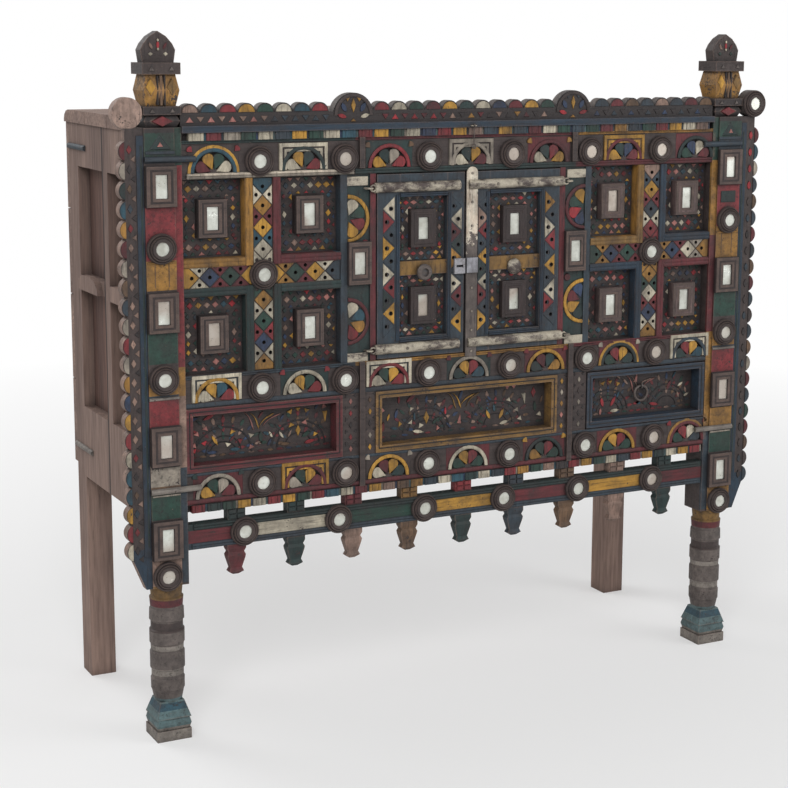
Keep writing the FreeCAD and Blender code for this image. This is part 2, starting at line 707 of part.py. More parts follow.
# A pendant's section at each level: share of its width, share of its drop.
pendant_shares = (
    (1, 0), (1, 0.14), (0.82, 0.26), (0.98, 0.36), (0.92, 0.46), (0.62, 0.78), (0.8, 0.9), (0.3, 1),
)


def pendants():
    width = measure("pendant_width")
    thickness = measure("bottom_rail_thickness")
    drop = measure("pendant_height")
    wires = []
    quarters = ((-1, -1), (1, -1), (1, 1), (-1, 1))
    for width_share, drop_share in pendant_shares:
        half = width * width_share / 2
        deep = thickness * width_share / 2
        z = -drop * drop_share
        corners = [Vector(half * sign_x, deep * sign_y, z) for sign_x, sign_y in quarters]
        wires.append(Part.makePolygon(corners + corners[:1]))
    master = doc.addObject("Part::Feature", "pendant_one")
    master.Shape = Part.makeLoft(wires, True, True)
    spots = [("pendant_pitch * %d" % step, "rail_y + bottom_rail_thickness / 2", "bottom_rail_z")
             for step in pendant_steps]
    return keep(copies("pendant_row", master, spots), "pendants")


pendants()


def crest_board():
    depth = "crest_thickness"
    y = "rail_y - rail_setback + crest_setback"
    length = "right_post_x - left_bay_x"
    parts = [box("crest_band", "left_bay_x", y, "crest_z", length, depth, "crest_band_height")]
    outside = int(measure("(rosette_end_gap - rosette_radius) / scallop_pitch"))
    between = int(measure("(rosette_spacing / 2 - rosette_radius) / scallop_pitch"))
    starts = ["left_bay_x + scallop_pitch * %g" % (index + 0.5) for index in range(outside)]
    starts += ["scallop_pitch * %d" % step for step in range(-between, between + 1)]
    starts += ["right_post_x - scallop_pitch * %g" % (index + 0.5) for index in range(outside)]
    for index, x in enumerate(starts):
        parts.append(rod("crest_scallop_%d" % index, x, y, "crest_z + crest_band_height",
                         "scallop_rise", depth, along_y))
    for side in "-+":
        x = "(left_bay_x + right_post_x) / 2 %s rosette_spacing / 2" % side
        parts.append(rod("crest_rosette" + ("_left" if side == "-" else "_right"), x, y,
                         "crest_z + rosette_drop", "rosette_radius", depth, along_y))
    below = box("crest_below", "left_bay_x", "face_y - overrun", "crest_z - rosette_radius",
                length, "crest_thickness + crest_setback + 2 * overrun", "rosette_radius")
    return keep(cut("crest_whole", fuse("crest_joined", parts), below), "crest_board")


crest_board()

# Where the roundels sit along the rails, as shares of the arch pitch or of
# the bottom rail's length.
bottom_roundel_shares = (0.096, 0.263, 0.423, 0.577, 0.729, 0.886)
roundel_step_shares = (-2.5, -1.53, -0.52, 0.52, 1.54, 2.5)
post_roundel_shares = (0.745, 0.462, 0.025)
post_frame_shares = (0.877, 0.608, 0.316, 0.107)


def roundel_spots():
    spots = []
    for arch_z in ("frieze_arch_z", "mid_arch_z", "lower_arch_z"):
        spots += [("middle_x + arch_pitch * %g" % step, "rail_y", arch_z + " + arch_radius / 2")
                  for step in roundel_step_shares]
    spots += [("left_bay_x + (right_post_x - left_bay_x) * %g" % share, "rail_y",
               "bottom_rail_z + bottom_rail_height / 2") for share in bottom_roundel_shares]
    for x in ("-half_width + (post_width - bead_width) / 2", "half_width - (post_width - bead_width) / 2"):
        spots += [(x, "face_y", "leg_height + (post_height - leg_height) * %g" % share)
                  for share in post_roundel_shares]
    for bay_x in ("left_bay_x", "right_bay_x"):
        x = bay_x + " + (%s - %s) / 2" % (("left_jamb_x", "left_bay_x") if "left" in bay_x
                                          else ("right_post_x", "right_bay_x"))
        spots.append((x, "rail_y + lattice_setback", "bay_z + bay_height / 2"))
    spots.append(("half_width + wing_width / 2 + wing_head_lead", "face_y + wing_setback",
                  "post_height + wing_head_rise"))
    return spots


# A roundel's turned face: share of its radius, share of its thickness.
roundel_shares = (
    (1, 0), (1, 0.45), (0.93, 0.75), (0.84, 0.6), (0.78, 0.95), (0.7, 0.8), (0.64, 1), (0.5, 0.95),
)


def roundels():
    body = new_body("roundel_one")
    body.Placement = FreeCAD.Placement(Vector(), Rotation(along_z, Vector(0, -1, 0)))
    points = [("0", "0")]
    points += [("roundel_radius * %g" % across, "roundel_thickness * %g" % out if out else "0")
               for across, out in roundel_shares]
    floor = "roundel_thickness - glass_recess - glass_thickness"
    points += [("roundel_glass_radius + glass_gap", "roundel_thickness * 0.95"),
               ("roundel_glass_radius + glass_gap", floor), ("0", floor)]
    revolve(body, "roundel_turning", outline(body, "roundel_profile", "XZ_Plane", points))
    return keep(copies("roundel_set", body, roundel_spots()), "roundels")


def mirror_block(name, wide, high, thick):
    """A block with a pocket for an upright mirror; its back's centre is the origin."""
    block = box(name + "_block", "-%s / 2" % wide, "-" + thick, "-%s / 2" % high, wide, thick, high)
    hole = box(name + "_pocket", "-glass_width / 2 - glass_gap", "-%s - overrun" % thick,
               "-glass_height / 2 - glass_gap", "glass_width + 2 * glass_gap",
               "overrun + glass_recess + glass_thickness", "glass_height + 2 * glass_gap")
    return cut(name, block, hole)


def glass_plate(name, thick):
    """The mirror that lies on the floor of such a block's pocket."""
    return box(name, "-glass_width / 2", "glass_recess - " + thick, "-glass_height / 2",
               "glass_width", "glass_thickness", "glass_height")


post_blocks = [(x, "face_y", "leg_height + (post_height - leg_height) * %g" % share)
               for x in ("-half_width + (post_width - bead_width) / 2 + bead_depth / 3",
                         "half_width - (post_width - bead_width) / 2 - bead_depth / 3")
               for share in post_frame_shares]


def bay_cells(bay_x, bay_width):
    """The four panels of a bay: low corner, width and height, and its L of mouldings."""
    wide = "((%s - lattice_width) / 2 - bay_moulding)" % bay_width
    high = "((bay_height - band_height) / 2 - bay_moulding)"
    far_x = "%s + %s - %s" % (bay_x, bay_width, wide)
    far_z = "bay_z + bay_height - " + high
    return [(x, z, wide, high, x == far_x, z == far_z) for z in ("bay_z", far_z) for x in (bay_x, far_x)]


bays = {side: bay_cells(side + "_bay_x", side + "_bay_width") for side in ("left", "right")}
bay_blocks = [("%s + %s / 2" % (x, wide), "face_y + bay_panel_setback", "%s + %s / 2" % (z, high))
              for cells in bays.values() for x, z, wide, high, far_x, far_z in cells]
jamb_block_share = 0.53
jamb_blocks = [(x, "rail_y + column_setback", "bay_z + bay_height * %g" % jamb_block_share)
               for x in ("left_jamb_x + bay_stile + jamb_column / 2",
                         "right_bay_x - bay_stile - jamb_column / 2")]


def mirror_frames():
    sets = []
    for name, spots in (("post", post_blocks), ("bay", bay_blocks), ("jamb", jamb_blocks)):
        size = [name + "_frame_" + what for what in ("width", "height", "thickness")]
        sets.append(copies(name + "_frames", mirror_block(name + "_frame_one", *size), spots))
    return keep(group("frame_sets", sets), "mirror_frames")


def mirrors():
    disc = rod("glass_disc", "0", "glass_recess - roundel_thickness", "0",
               "roundel_glass_radius", "glass_thickness", along_y)
    sets = [copies("round_mirrors", disc, roundel_spots())]
    for name, spots in (("post", post_blocks), ("bay", bay_blocks), ("jamb", jamb_blocks)):
        plate = glass_plate(name + "_glass", name + "_frame_thickness")
        sets.append(copies(name + "_mirrors", plate, spots))
    return keep(group("mirror_sets", sets), "mirrors")


roundels()
mirror_frames()
mirrors()


def drilled(name, spots, y):
    """Blind holes of one size, at pairs of x and z, from the plane at y."""
    radius, depth, front = measure("hole_radius"), measure("hole_depth"), measure(y)
    thing = doc.addObject("Part::Feature", name)
    thing.Shape = Part.makeCompound([Part.makeCylinder(radius, depth, Vector(x, front, z), along_y)
                                     for x, z in spots])
    return thing


# From the outer end of a lattice's arm, in shares of the pitch.
end_hole_share = 0.42
first_pair_share = 0.79
first_middle_share = 1.29


def arm_spots(x, z, way, length):
    """Holes of one arm of a lattice: one near its end, pairs at its edges, single ones between them."""
    pitch = measure("lattice_pitch")
    side = measure("lattice_width") / 3
    clear = measure(length) - measure("roundel_radius") - measure("hole_radius")
    spots = [(pitch * end_hole_share, 0)]
    for step in range(int(measure(length) / pitch)):
        spots += [(pitch * (first_pair_share + step), offset) for offset in (-side, side)]
        spots.append((pitch * (first_middle_share + step), 0))
    start_x, start_z = measure(x), measure(z)
    return [(start_x + way[0] * along + way[1] * across, start_z + way[1] * along + way[0] * across)
            for along, across in spots if along < clear]


def bay_lattice(label, bay_x, bay_width):
    y = "rail_y + lattice_setback"
    deep = "bay_panel_setback + panel_thickness - rail_setback - lattice_setback"
    stem_x = "%s + (%s - lattice_width) / 2" % (bay_x, bay_width)
    band_z = "bay_z + (bay_height - band_height) / 2"
    half = "(%s - lattice_width) / 2" % bay_width
    middle_x, middle_z = "%s + %s / 2" % (bay_x, bay_width), "bay_z + bay_height / 2"
    far_x = "%s + %s" % (bay_x, bay_width)
    upright_spots = (arm_spots(middle_x, "bay_z", (0, 1), "bay_height / 2")
                     + arm_spots(middle_x, "bay_z + bay_height", (0, -1), "bay_height / 2"))
    members = (("stem", stem_x, "bay_z", "lattice_width", "bay_height", upright_spots),
               ("near_band", bay_x, band_z, half, "band_height",
                arm_spots(bay_x, middle_z, (1, 0), bay_width + " / 2")),
               ("far_band", stem_x + " + lattice_width", band_z, half, "band_height",
                arm_spots(far_x, middle_z, (-1, 0), bay_width + " / 2")))
    pierced = []
    for part, x, z, wide, high, spots in members:
        name = "%s_%s" % (label, part)
        plain = box(name + "_plain", x, y, z, wide, deep, high)
        pierced.append(cut(name, plain, drilled(name + "_holes", spots, y)))
    return keep(group(label + "_set", pierced), label)


bay_lattice("left_bay_lattice", "left_bay_x", "left_bay_width")
bay_lattice("right_bay_lattice", "right_bay_x", "right_bay_width")

for side, cells in bays.items():
    boards = [box("%s_bay_panel_%d" % (side, index), x, "face_y + bay_panel_setback", z,
                  wide, "panel_thickness", high)
              for index, (x, z, wide, high, far_x, far_z) in enumerate(cells)]
    keep(group(side + "_bay_set", boards), side + "_bay_panels")


def bay_mouldings():
    deep = "bay_panel_setback + panel_thickness - rail_setback"
    pieces = []
    for side, cells in bays.items():
        for index, (x, z, wide, high, far_x, far_z) in enumerate(cells):
            name = "%s_moulding_%d" % (side, index)
            upright_x = x + " - bay_moulding" if far_x else "%s + %s" % (x, wide)
            level_x = upright_x if far_x else x
            level_z = z + " - bay_moulding" if far_z else "%s + %s" % (z, high)
            pieces.append(box(name + "_upright", upright_x, "rail_y", z, "bay_moulding", deep, high))
            pieces.append(box(name + "_level", level_x, "rail_y", level_z, wide + " + bay_moulding", deep,
                              "bay_moulding"))
    return keep(group("moulding_set", pieces), "bay_mouldings")


bay_mouldings()


def jamb(label, x, bay_side_first):
    """A carved column between two strips, and the stop that its door closes against."""
    column = "jamb_column"
    first, last = ("bay_stile", "jamb_stile") if bay_side_first else ("jamb_stile", "bay_stile")
    strips = [
        box(label + "_first", x, "rail_y", "bay_z", first, "rail_thickness", "bay_height"),
        box(label + "_column", x + " + " + first, "rail_y + column_setback", "bay_z",
            column, "rail_thickness - column_setback", "bay_height"),
        box(label + "_last", x + " + " + first + " + " + column, "rail_y", "bay_z",
            last, "rail_thickness", "bay_height")]
    stop_y = "door_y + door_thickness + stop_gap"
    stop = box(label + "_stop", x + (" + jamb_width" if bay_side_first else " - stop_width"), stop_y, "bay_z",
               "stop_width", "rail_back_y - (%s)" % stop_y, "bay_height")
    return keep(group(label + "_set", [fuse(label + "_column_whole", strips), stop]), label)


jamb("left_jamb", "left_jamb_x", True)
jamb("right_jamb", "right_opening_x", False)


def front_uprights():
    parts = []
    for side in ("left", "right"):
        x = side + "_upright_x"
        parts.append(box(side + "_upright", x, "rail_y", "row_z",
                         "upright_width", "rail_thickness", "row_height"))
        batten_x = x + " + upright_width / 2" + ("" if side == "left" else " - batten_width")
        parts.append(box(side + "_batten", batten_x, "face_y", "lower_rail_z", "batten_width", "rail_setback",
                         "bay_z - lower_rail_z"))
        parts.append(box(side + "_frieze_batten", batten_x, "face_y", "frieze_arch_z", "batten_width",
                         "rail_setback", "frieze_height - rail_foot_band"))
    return keep(group("upright_set", parts), "front_uprights")


front_uprights()

fixed_rows = (("left_bay_x", "left_upright_x - left_bay_x"),
              ("left_upright_x + upright_width", "right_upright_x - left_upright_x - upright_width"))


def moulded_frame(name, x, z, wide, high):
    """Four members whose depth reaches the back of the panel that they hold."""
    y = "face_y + row_frame_setback"
    deep = "row_panel_setback + panel_thickness - row_frame_setback"
    thick = "row_frame_width"
    far_x = "%s + %s - %s" % (x, wide, thick)
    far_z = "%s + %s - %s" % (z, high, thick)
    between = "%s - 2 * %s" % (high, thick)
    return [box(name + "_bottom", x, y, z, wide, deep, thick),
            box(name + "_top", x, y, far_z, wide, deep, thick),
            box(name + "_near", x, y, "%s + %s" % (z, thick), thick, deep, between),
            box(name + "_far", far_x, y, "%s + %s" % (z, thick), thick, deep, between)]


def framed_panel(name, x, z, wide, high):
    return box(name, x + " + row_frame_width", "row_panel_y", z + " + row_frame_width",
               wide + " - 2 * row_frame_width", "panel_thickness", high + " - 2 * row_frame_width")


row_members = [member for index, (x, wide) in enumerate(fixed_rows)
               for member in moulded_frame("row_frame_%d" % index, x, "row_z", wide, "row_height")]
keep(group("row_frame_set", row_members), "row_frames")
keep(group("row_panel_set", [framed_panel("row_panel_%d" % index, x, "row_z", wide, "row_height")
                             for index, (x, wide) in enumerate(fixed_rows)]), "row_panels")


# The outline of a carved swell: share of its length, share of its rail's height.
swell_shares = (
    (0, 0), (1, 0), (1, 0.35), (0.94, 0.85), (0.78, 1.2), (0.4, 1.3), (0.16, 1.05), (0.04, 0.6), (0, 0.2),
)


def side_swell(name, x, y, length):
    body = new_body(name)
    place(body, x, y, "side_mid_z")
    points = [("(%s) * %g" % (length, along) if along else "0", "side_mid_rail * %g" % up if up else "0")
              for along, up in swell_shares]
    pad(body, name + "_pad", outline(body, name + "_line", "YZ_Plane", points), "side_mid_proud")
    return body


def side_frame(side, x, panel_x, proud_x):
    high = "rear_post_height - side_bottom_z - side_top_rail - side_bottom_rail"
    deep = "side_frame_thickness"
    muntin_y = "side_y + (side_length - muntin_width) / 2"
    half = "(side_length - muntin_width) / 2"
    length = "side_length"
    low_z = "side_bottom_z + side_bottom_rail"
    parts = [box(side + "_top_side_rail", x, "side_y", "side_top_z", deep, length, "side_top_rail"),
             box(side + "_bottom_side_rail", x, "side_y", "side_bottom_z", deep, length, "side_bottom_rail"),
             box(side + "_muntin", x, muntin_y, low_z, deep, "muntin_width", high)]
    for name, start in (("front", "side_y"), ("back", muntin_y + " + muntin_width")):
        parts.append(box("%s_%s_mid_rail" % (side, name), x, start, "side_mid_z",
                         deep, half, "side_mid_rail"))
        parts.append(side_swell("%s_%s_swell" % (side, name), proud_x, start + " + side_mid_gap",
                                half + " - 2 * side_mid_gap"))
    keep(group(side + "_side_set", parts), side + "_side_frame")
    panels = []
    levels = (("low", low_z, "side_mid_z - side_bottom_z - side_bottom_rail"),
              ("high", "side_mid_z + side_mid_rail", "side_top_z - side_mid_z - side_mid_rail"))
    for name, start in (("front", "side_y"), ("back", muntin_y + " + muntin_width")):
        for level, z, tall in levels:
            panels.append(box("%s_%s_%s_panel" % (side, name, level), panel_x, start, z,
                              "side_frame_thickness - side_panel_setback", half, tall))
    keep(group(side + "_panel_set", panels), side + "_side_panels")


side_frame("left", "-half_width", "side_panel_setback - half_width", "-half_width - side_mid_proud")
side_frame("right", "half_width - side_frame_thickness", "half_width - side_frame_thickness",
           "half_width")


def planks(name, count, x, y, z, wide, deep, high, axis):
    """A boarded surface: planks side by side along one axis, a small gap between them."""
    span = {"y": deep, "z": high}[axis]
    one = "((%s) - plank_gap * %d) / %d" % (span, count - 1, count)
    boards = []
    for index in range(count):
        shift = " + (%s + plank_gap) * %d" % (one, index)
        if axis == "y":
            boards.append(box("%s_%d" % (name, index), x, y + shift, z, wide, one, high))
        else:
            boards.append(box("%s_%d" % (name, index), x, y, z + shift, wide, deep, one))
    return boards


inside_x = "rear_post_width - half_width"
back_wide = "overall_width - 2 * rear_post_width"
keep(group("back_rails", [
    box("back_top_rail", inside_x, "rear_post_y + rear_post_depth / 3", "rear_post_height - back_rail_height",
        back_wide, "rear_post_depth * 2 / 3", "back_rail_height"),
    box("back_bottom_rail", inside_x, "rear_post_y + rear_post_depth / 3", "floor_top_z",
        back_wide, "rear_post_depth * 2 / 3", "back_rail_height")]), "back_frame")
keep(group("back_planks", planks("back_plank", 4, "-half_width", "rear_y", "back_low_z", "overall_width",
                                 "back_board", "rear_post_height - back_low_z", "z")), "back_boards")
wide_top = "overall_width + 2 * top_side_lip"
# The end of the rear top plank: share of its width, share of its thickness.
rear_plank_shares = ((0, 0), (1, 0), (1, 0.25), (0.97, 0.6), (0.9, 0.88), (0.8, 1), (0, 1))


def rear_top_plank(y, wide):
    body = new_body("rear_top_plank")
    place(body, "-half_width - top_side_lip", y, "rear_post_height")
    points = [("%s * %g" % (wide, along) if along else "0", "top_board * %g" % up if up else "0")
              for along, up in rear_plank_shares]
    pad(body, "rear_plank_pad", outline(body, "rear_plank_line", "YZ_Plane", points), wide_top)
    return body


plank = "((rear_y + back_board - side_y - 2 * plank_gap) / 3)"
keep(group("top_planks", [
    box("front_top_plank", "left_bay_x", "rail_back_y", "rear_post_height",
        "right_post_x - left_bay_x", "side_y - rail_back_y", "top_board")]
    + planks("top_plank", 2, "-half_width - top_side_lip", "side_y", "rear_post_height", wide_top,
             "2 * %s + plank_gap" % plank, "top_board", "y")
    + [rear_top_plank("side_y + 2 * (%s + plank_gap)" % plank, plank)]), "top_boards")
keep(group("floor_planks", planks("floor_plank", 3, "side_frame_thickness - half_width", "side_y", "floor_z",
                                  "overall_width - 2 * side_frame_thickness", "rear_post_y - side_y",
                                  "board_thickness", "y")
           + [box("floor_front_plank", "left_bay_x", "rail_back_y", "floor_z", "right_post_x - left_bay_x",
                  "side_y - rail_back_y", "board_thickness"),
              box("floor_back_plank", inside_x, "rear_post_y", "floor_z", back_wide, "rear_post_depth",
                  "board_thickness")]), "floor_boards")


def drawer_case():
    case_y = "rail_back_y"
    deep = "rear_post_y - rail_back_y"
    wall = box("case_wall", "drawer_case_x", case_y, "floor_top_z", "board_thickness", deep,
               "mid_rail_z - floor_top_z")
    lid = box("case_lid", "drawer_case_x", case_y, "mid_rail_z", "right_post_x - drawer_case_x", deep,
              "board_thickness")
    runner_high = "drawer_front_z + drawer_gap - runner_gap - floor_top_z"
    runner_deep = "drawer_length"
    first = "drawer_front_x + drawer_side_inset"
    last = "drawer_front_x + drawer_front_width - drawer_side_inset - runner_width"
    runners = [box(name, x, case_y, "floor_top_z", "runner_width", runner_deep, runner_high)
               for name, x in (("left_runner", first), ("right_runner", last))]
    return keep(group("case_set", [wall, lid] + runners), "drawer_case")


drawer_case()


def half_round(name, x, y, z, radius, length, axis):
    """A half-round bar lying on the plane at y (bars along x) or at x (bars along y)."""
    bar = rod(name + "_rod", x, y, z, radius, length, axis)
    low_z = "%s - (%s)" % (z, radius)
    high = "2 * (%s)" % radius
    if axis is along_x:
        keeper = box(name + "_keeper", x, "%s - (%s)" % (y, radius), low_z, length, radius, high)
    elif "-half_width" in x:
        keeper = box(name + "_keeper", "%s - (%s)" % (x, radius), y, low_z, radius, length, high)
    else:
        keeper = box(name + "_keeper", x, y, low_z, radius, length, high)
    return common(name, bar, keeper)


def corner_straps():
    """Half-round straps across the four corners, front and rear, and a thin one round each front post."""
    bars = []
    for level, z in (("upper", "upper_corner_z"), ("lower", "lower_corner_z")):
        bars.append(half_round("left_%s_strap" % level, "-half_width", "face_y", z,
                               "corner_bar_radius", "corner_bar_length", along_x))
        bars.append(half_round("right_%s_strap" % level, "half_width - corner_bar_length", "face_y", z,
                               "corner_bar_radius", "corner_bar_length", along_x))
        for side, x in (("left", "-half_width"), ("right", "half_width")):
            bars.append(half_round("%s_%s_rear_strap" % (side, level), x, "rear_y - rear_bar_length", z,
                                   "corner_bar_radius", "rear_bar_length", along_y))
    for side, x in (("left", "-half_width"), ("right", "half_width - post_width + bead_width")):
        bars.append(half_round(side + "_middle_strap", x, "face_y", "middle_corner_z",
                               "corner_bar_radius / 2", "post_width - bead_width", along_x))
    return keep(group("corner_strap_set", bars), "corner_straps")


corner_straps()


def jamb_irons():
    """The jamb halves of the four loop hinges, their plates, and the staple of the catch."""
    irons = []
    for side, sign in (("left", "-"), ("right", "+")):
        loop_x = "%s_hinge_x %s (loop_radius - loop_lap)" % (side, sign)
        shank_x = "%s %s loop_radius" % (loop_x, sign)
        plate_x = {"left": "left_jamb_x + bay_stile",
                   "right": "right_bay_x - bay_stile - hinge_plate_width"}[side]
        for level, z, plate_z in (("upper", "upper_bar_z", "upper_bar_z + loop_radius"),
                                  ("lower", "lower_bar_z", "bay_z")):
            name = "%s_%s_staple" % (side, level)
            eye = ring(name + "_loop", loop_x, "hinge_y", z, "loop_radius", "loop_wire", along_z)
            shank = rod(name + "_shank", shank_x, "hinge_y", z, "loop_shank",
                        "rail_y + column_setback - hinge_y", along_y)
            irons.append(fuse(name, [eye, shank]))
            irons.append(box(name + "_plate", plate_x, "rail_y + column_setback - iron_thickness", plate_z,
                             "hinge_plate_width", "iron_thickness", "hinge_plate_height"))
    half = "catch_pin_length / 2"
    pin = rod("catch_pin", "middle_x - %s" % half, "catch_y", "catch_z", "catch_wire",
              "catch_pin_length", along_x)
    legs = [rod("catch_leg" + mark, "middle_x %s (%s - catch_wire)" % (sign, half), "catch_y", "catch_z",
                "catch_wire", "catch_stand", along_y) for mark, sign in (("_left", "-"), ("_right", "+"))]
    irons.append(fuse("catch_staple", [pin] + legs))
    return keep(group("staple_set", irons), "iron_staples")


jamb_irons()


def catch_hook():
    """A wire with an eye at each end that hangs from its staple over the doors."""
    eye = ring("hook_eye", "middle_x", "catch_y", "catch_z", "catch_eye", "catch_wire", along_x)
    foot_z = "catch_z - catch_length"
    stem = rod("hook_stem", "middle_x", "catch_y", foot_z + " + catch_ring", "catch_stem",
               "catch_length - catch_ring - catch_eye", along_z)
    foot = ring("hook_foot", "middle_x", "catch_y", foot_z, "catch_ring", "catch_wire", along_y)
    return keep(fuse("hook_whole", [eye, stem, foot]), "catch_hook")


catch_hook()


def stile_spots(x, wide, starts_left):
    """Holes down a door stile, by turns a little left and a little right of its middle."""
    pitch = measure("stile_hole_pitch")
    high = measure("door_height - door_bottom_rail - door_top_rail")
    middle_x = measure("%s + %s / 2" % (x, wide))
    low_z = measure("door_z + door_bottom_rail")
    count = int(high / pitch)
    spots = []
    for index in range(count):
        side = -1 if (index % 2 == 0) == starts_left else 1
        spots.append((middle_x + side * measure("stile_hole_offset"),
                      low_z + high / 2 + pitch * (index - (count - 1) / 2)))
    return spots


def door(side, x, wide, left_stile, right_stile):
    upper_z = "(door_mid_z + door_mid_rail)"
    lower_z = "(door_z + door_bottom_rail)"
    lower_high = "(door_mid_z - %s)" % lower_z
    opening_x = "%s + %s" % (x, left_stile)
    opening_wide = "%s - %s - %s" % (wide, left_stile, right_stile)
    far_x = "%s + %s - %s" % (x, wide, right_stile)
    rails = (("bottom", "door_z", "door_bottom_rail", "door_y"),
             ("mid", "door_mid_z", "door_mid_rail", "door_y + door_mid_setback"),
             ("top", upper_z + " + panel_height", "door_top_rail", "door_y"))
    members = [box("%s_%s_rail" % (side, name), opening_x, y, z, opening_wide,
                   "door_thickness" + (" - door_mid_setback" if name == "mid" else ""), high)
               for name, z, high, y in rails]
    for name, stile_x, stile_wide in (("first", x, left_stile), ("last", far_x, right_stile)):
        stile = box("%s_%s_stile" % (side, name), stile_x, "door_y", "door_z", stile_wide,
                    "door_thickness", "door_height")
        covered = "strap_width" if (side, name) == ("right", "first") else "0"
        spots = stile_spots("%s + %s" % (stile_x, covered), "(%s - %s)" % (stile_wide, covered),
                            name == "first")
        holes = drilled("%s_%s_holes" % (side, name), spots, "door_y")
        members.append(cut("%s_%s_pierced" % (side, name), stile, holes))
    keep(group(side + "_door_members", members), side + "_door_frame")
    panel_y = "door_y + door_panel_setback"
    levels = ((upper_z, "panel_height"), (lower_z, lower_high))
    panels = [box("%s_door_panel_%d" % (side, index), opening_x, panel_y, z, opening_wide,
                  "panel_thickness", high) for index, (z, high) in enumerate(levels)]
    centres = [("%s + (%s) / 2" % (opening_x, opening_wide), panel_y, "%s + %s / 2" % (z, high))
               for z, high in levels]
    block = mirror_block(side + "_door_block", "door_frame_width", "door_frame_height",
                         "door_frame_thickness")
    keep(group(side + "_door_carving", panels + [copies(side + "_door_blocks", block, centres)]),
         side + "_door_panels")
    plate = glass_plate(side + "_door_glass", "door_frame_thickness")
    keep(copies(side + "_door_mirror_set", plate, centres), side + "_door_mirrors")
    return "%s + (%s) / 2" % (opening_x, opening_wide)


stiles = {"left": ("left_hinge_stile", "left_meeting_stile"),
          "right": ("right_meeting_stile", "right_hinge_stile")}
knob_x = {side: door(side, side + "_door_x", side + "_door_width", *stiles[side]) for side in stiles}


def door_bars(side, sign, far_x, notch):
    """Two half-round bars, each ending in the loop that turns in the jamb's staple."""
    bars = []
    loop_x = "%s_hinge_x %s loop_radius" % (side, sign)
    root_x = "(%s %s (loop_radius - loop_wire / 2))" % (loop_x, sign)
    for level, z in (("upper", "upper_bar_z"), ("lower", "lower_bar_z")):
        name = "%s_%s_bar" % (side, level)
        if side == "left":
            bar = half_round(name, root_x, "door_y", z, "bar_radius", "left_bar_length", along_x)
        else:
            bar = half_round(name, far_x, "door_y", z, "bar_radius", "%s - (%s)" % (root_x, far_x), along_x)
        if notch:
            bar = cut(name + "_notched", bar, notch)
        eye = ring(name + "_eye", loop_x, "hinge_y", z, "loop_radius", "loop_wire", along_y)
        bars.append(fuse(name + "_whole", [bar, eye]))
    return keep(group(side + "_bar_set", bars), side + "_door_bars")


door_bars("left", "+", "", None)
strap_z = "door_z - strap_over"
strap_high = "door_height + 2 * strap_over"
strap_y = "door_y - iron_thickness"
strap_notch = box("strap_notch", "right_door_x", strap_y, strap_z,
                  "strap_width", "iron_thickness", strap_high)
door_bars("right", "-", "right_door_x + 3 * iron_thickness / 2", strap_notch)
hasp_z = "door_mid_z + door_mid_rail / 2"


def hasp():
    """The slotted plate on the left door, and the strap and plain plate on the right door."""
    low_z = "%s - hasp_height / 2" % hasp_z
    deep = "(2 * iron_thickness)"
    front_y = "door_y - " + deep
    plate_x = "left_door_x + left_door_width - hasp_width"
    plate = box("slotted_plate", plate_x, front_y, low_z, "hasp_width", deep, "hasp_height")
    slot = box("plate_slot", plate_x + " + (hasp_width - hasp_slot_width) / 2", front_y + " - overrun",
               "%s - hasp_slot_height / 2" % hasp_z,
               "hasp_slot_width", deep + " + 2 * overrun", "hasp_slot_height")
    keep(cut("slotted_plate_whole", plate, slot), "hasp_plate")
    head_z = "(%s + %s - strap_width / 2)" % (strap_z, strap_high)
    strap = fuse("strap_whole", [
        box("strap", "right_door_x", strap_y, strap_z, "strap_width", "iron_thickness",
            "%s - (%s)" % (head_z, strap_z)),
        rod("strap_head", "right_door_x + strap_width / 2", strap_y, head_z, "strap_width / 2",
            "iron_thickness", along_y)])
    plain = box("plain_plate", "right_door_x", front_y, low_z, "strap_width", "iron_thickness", "hasp_height")
    keep(group("strap_set", [strap, plain]), "closing_strap")


hasp()

# Turned knobs: share of the radius, share of the thickness.
knob_shares = {
    "left": ((0.75, 0), (0.8, 0.3), (1, 0.5), (1, 0.8), (0.85, 1), (0.5, 1), (0.42, 0.7)),
    "right": ((0.9, 0), (1, 0.15), (0.96, 0.35), (0.8, 0.6), (0.5, 0.78), (0.2, 0.85)),
}


def knob(side, x):
    body = new_body(side + "_knob_body")
    body.Placement = FreeCAD.Placement(Vector(), Rotation(along_z, Vector(0, -1, 0)))
    place(body, x, "door_y + door_mid_setback", "door_mid_z + door_mid_rail / 5")
    points = [("0", "0")]
    points += [("knob_radius * %g" % across, "knob_thickness * %g" % out if out else "0")
               for across, out in knob_shares[side]]
    points += [("0", "knob_thickness * %g" % knob_shares[side][-1][1])]
    revolve(body, side + "_knob_turning", outline(body, side + "_knob_profile", "XZ_Plane", points))
    return keep(body, side + "_door_boss")


knob("left", knob_x["left"])
knob("right", knob_x["right"])


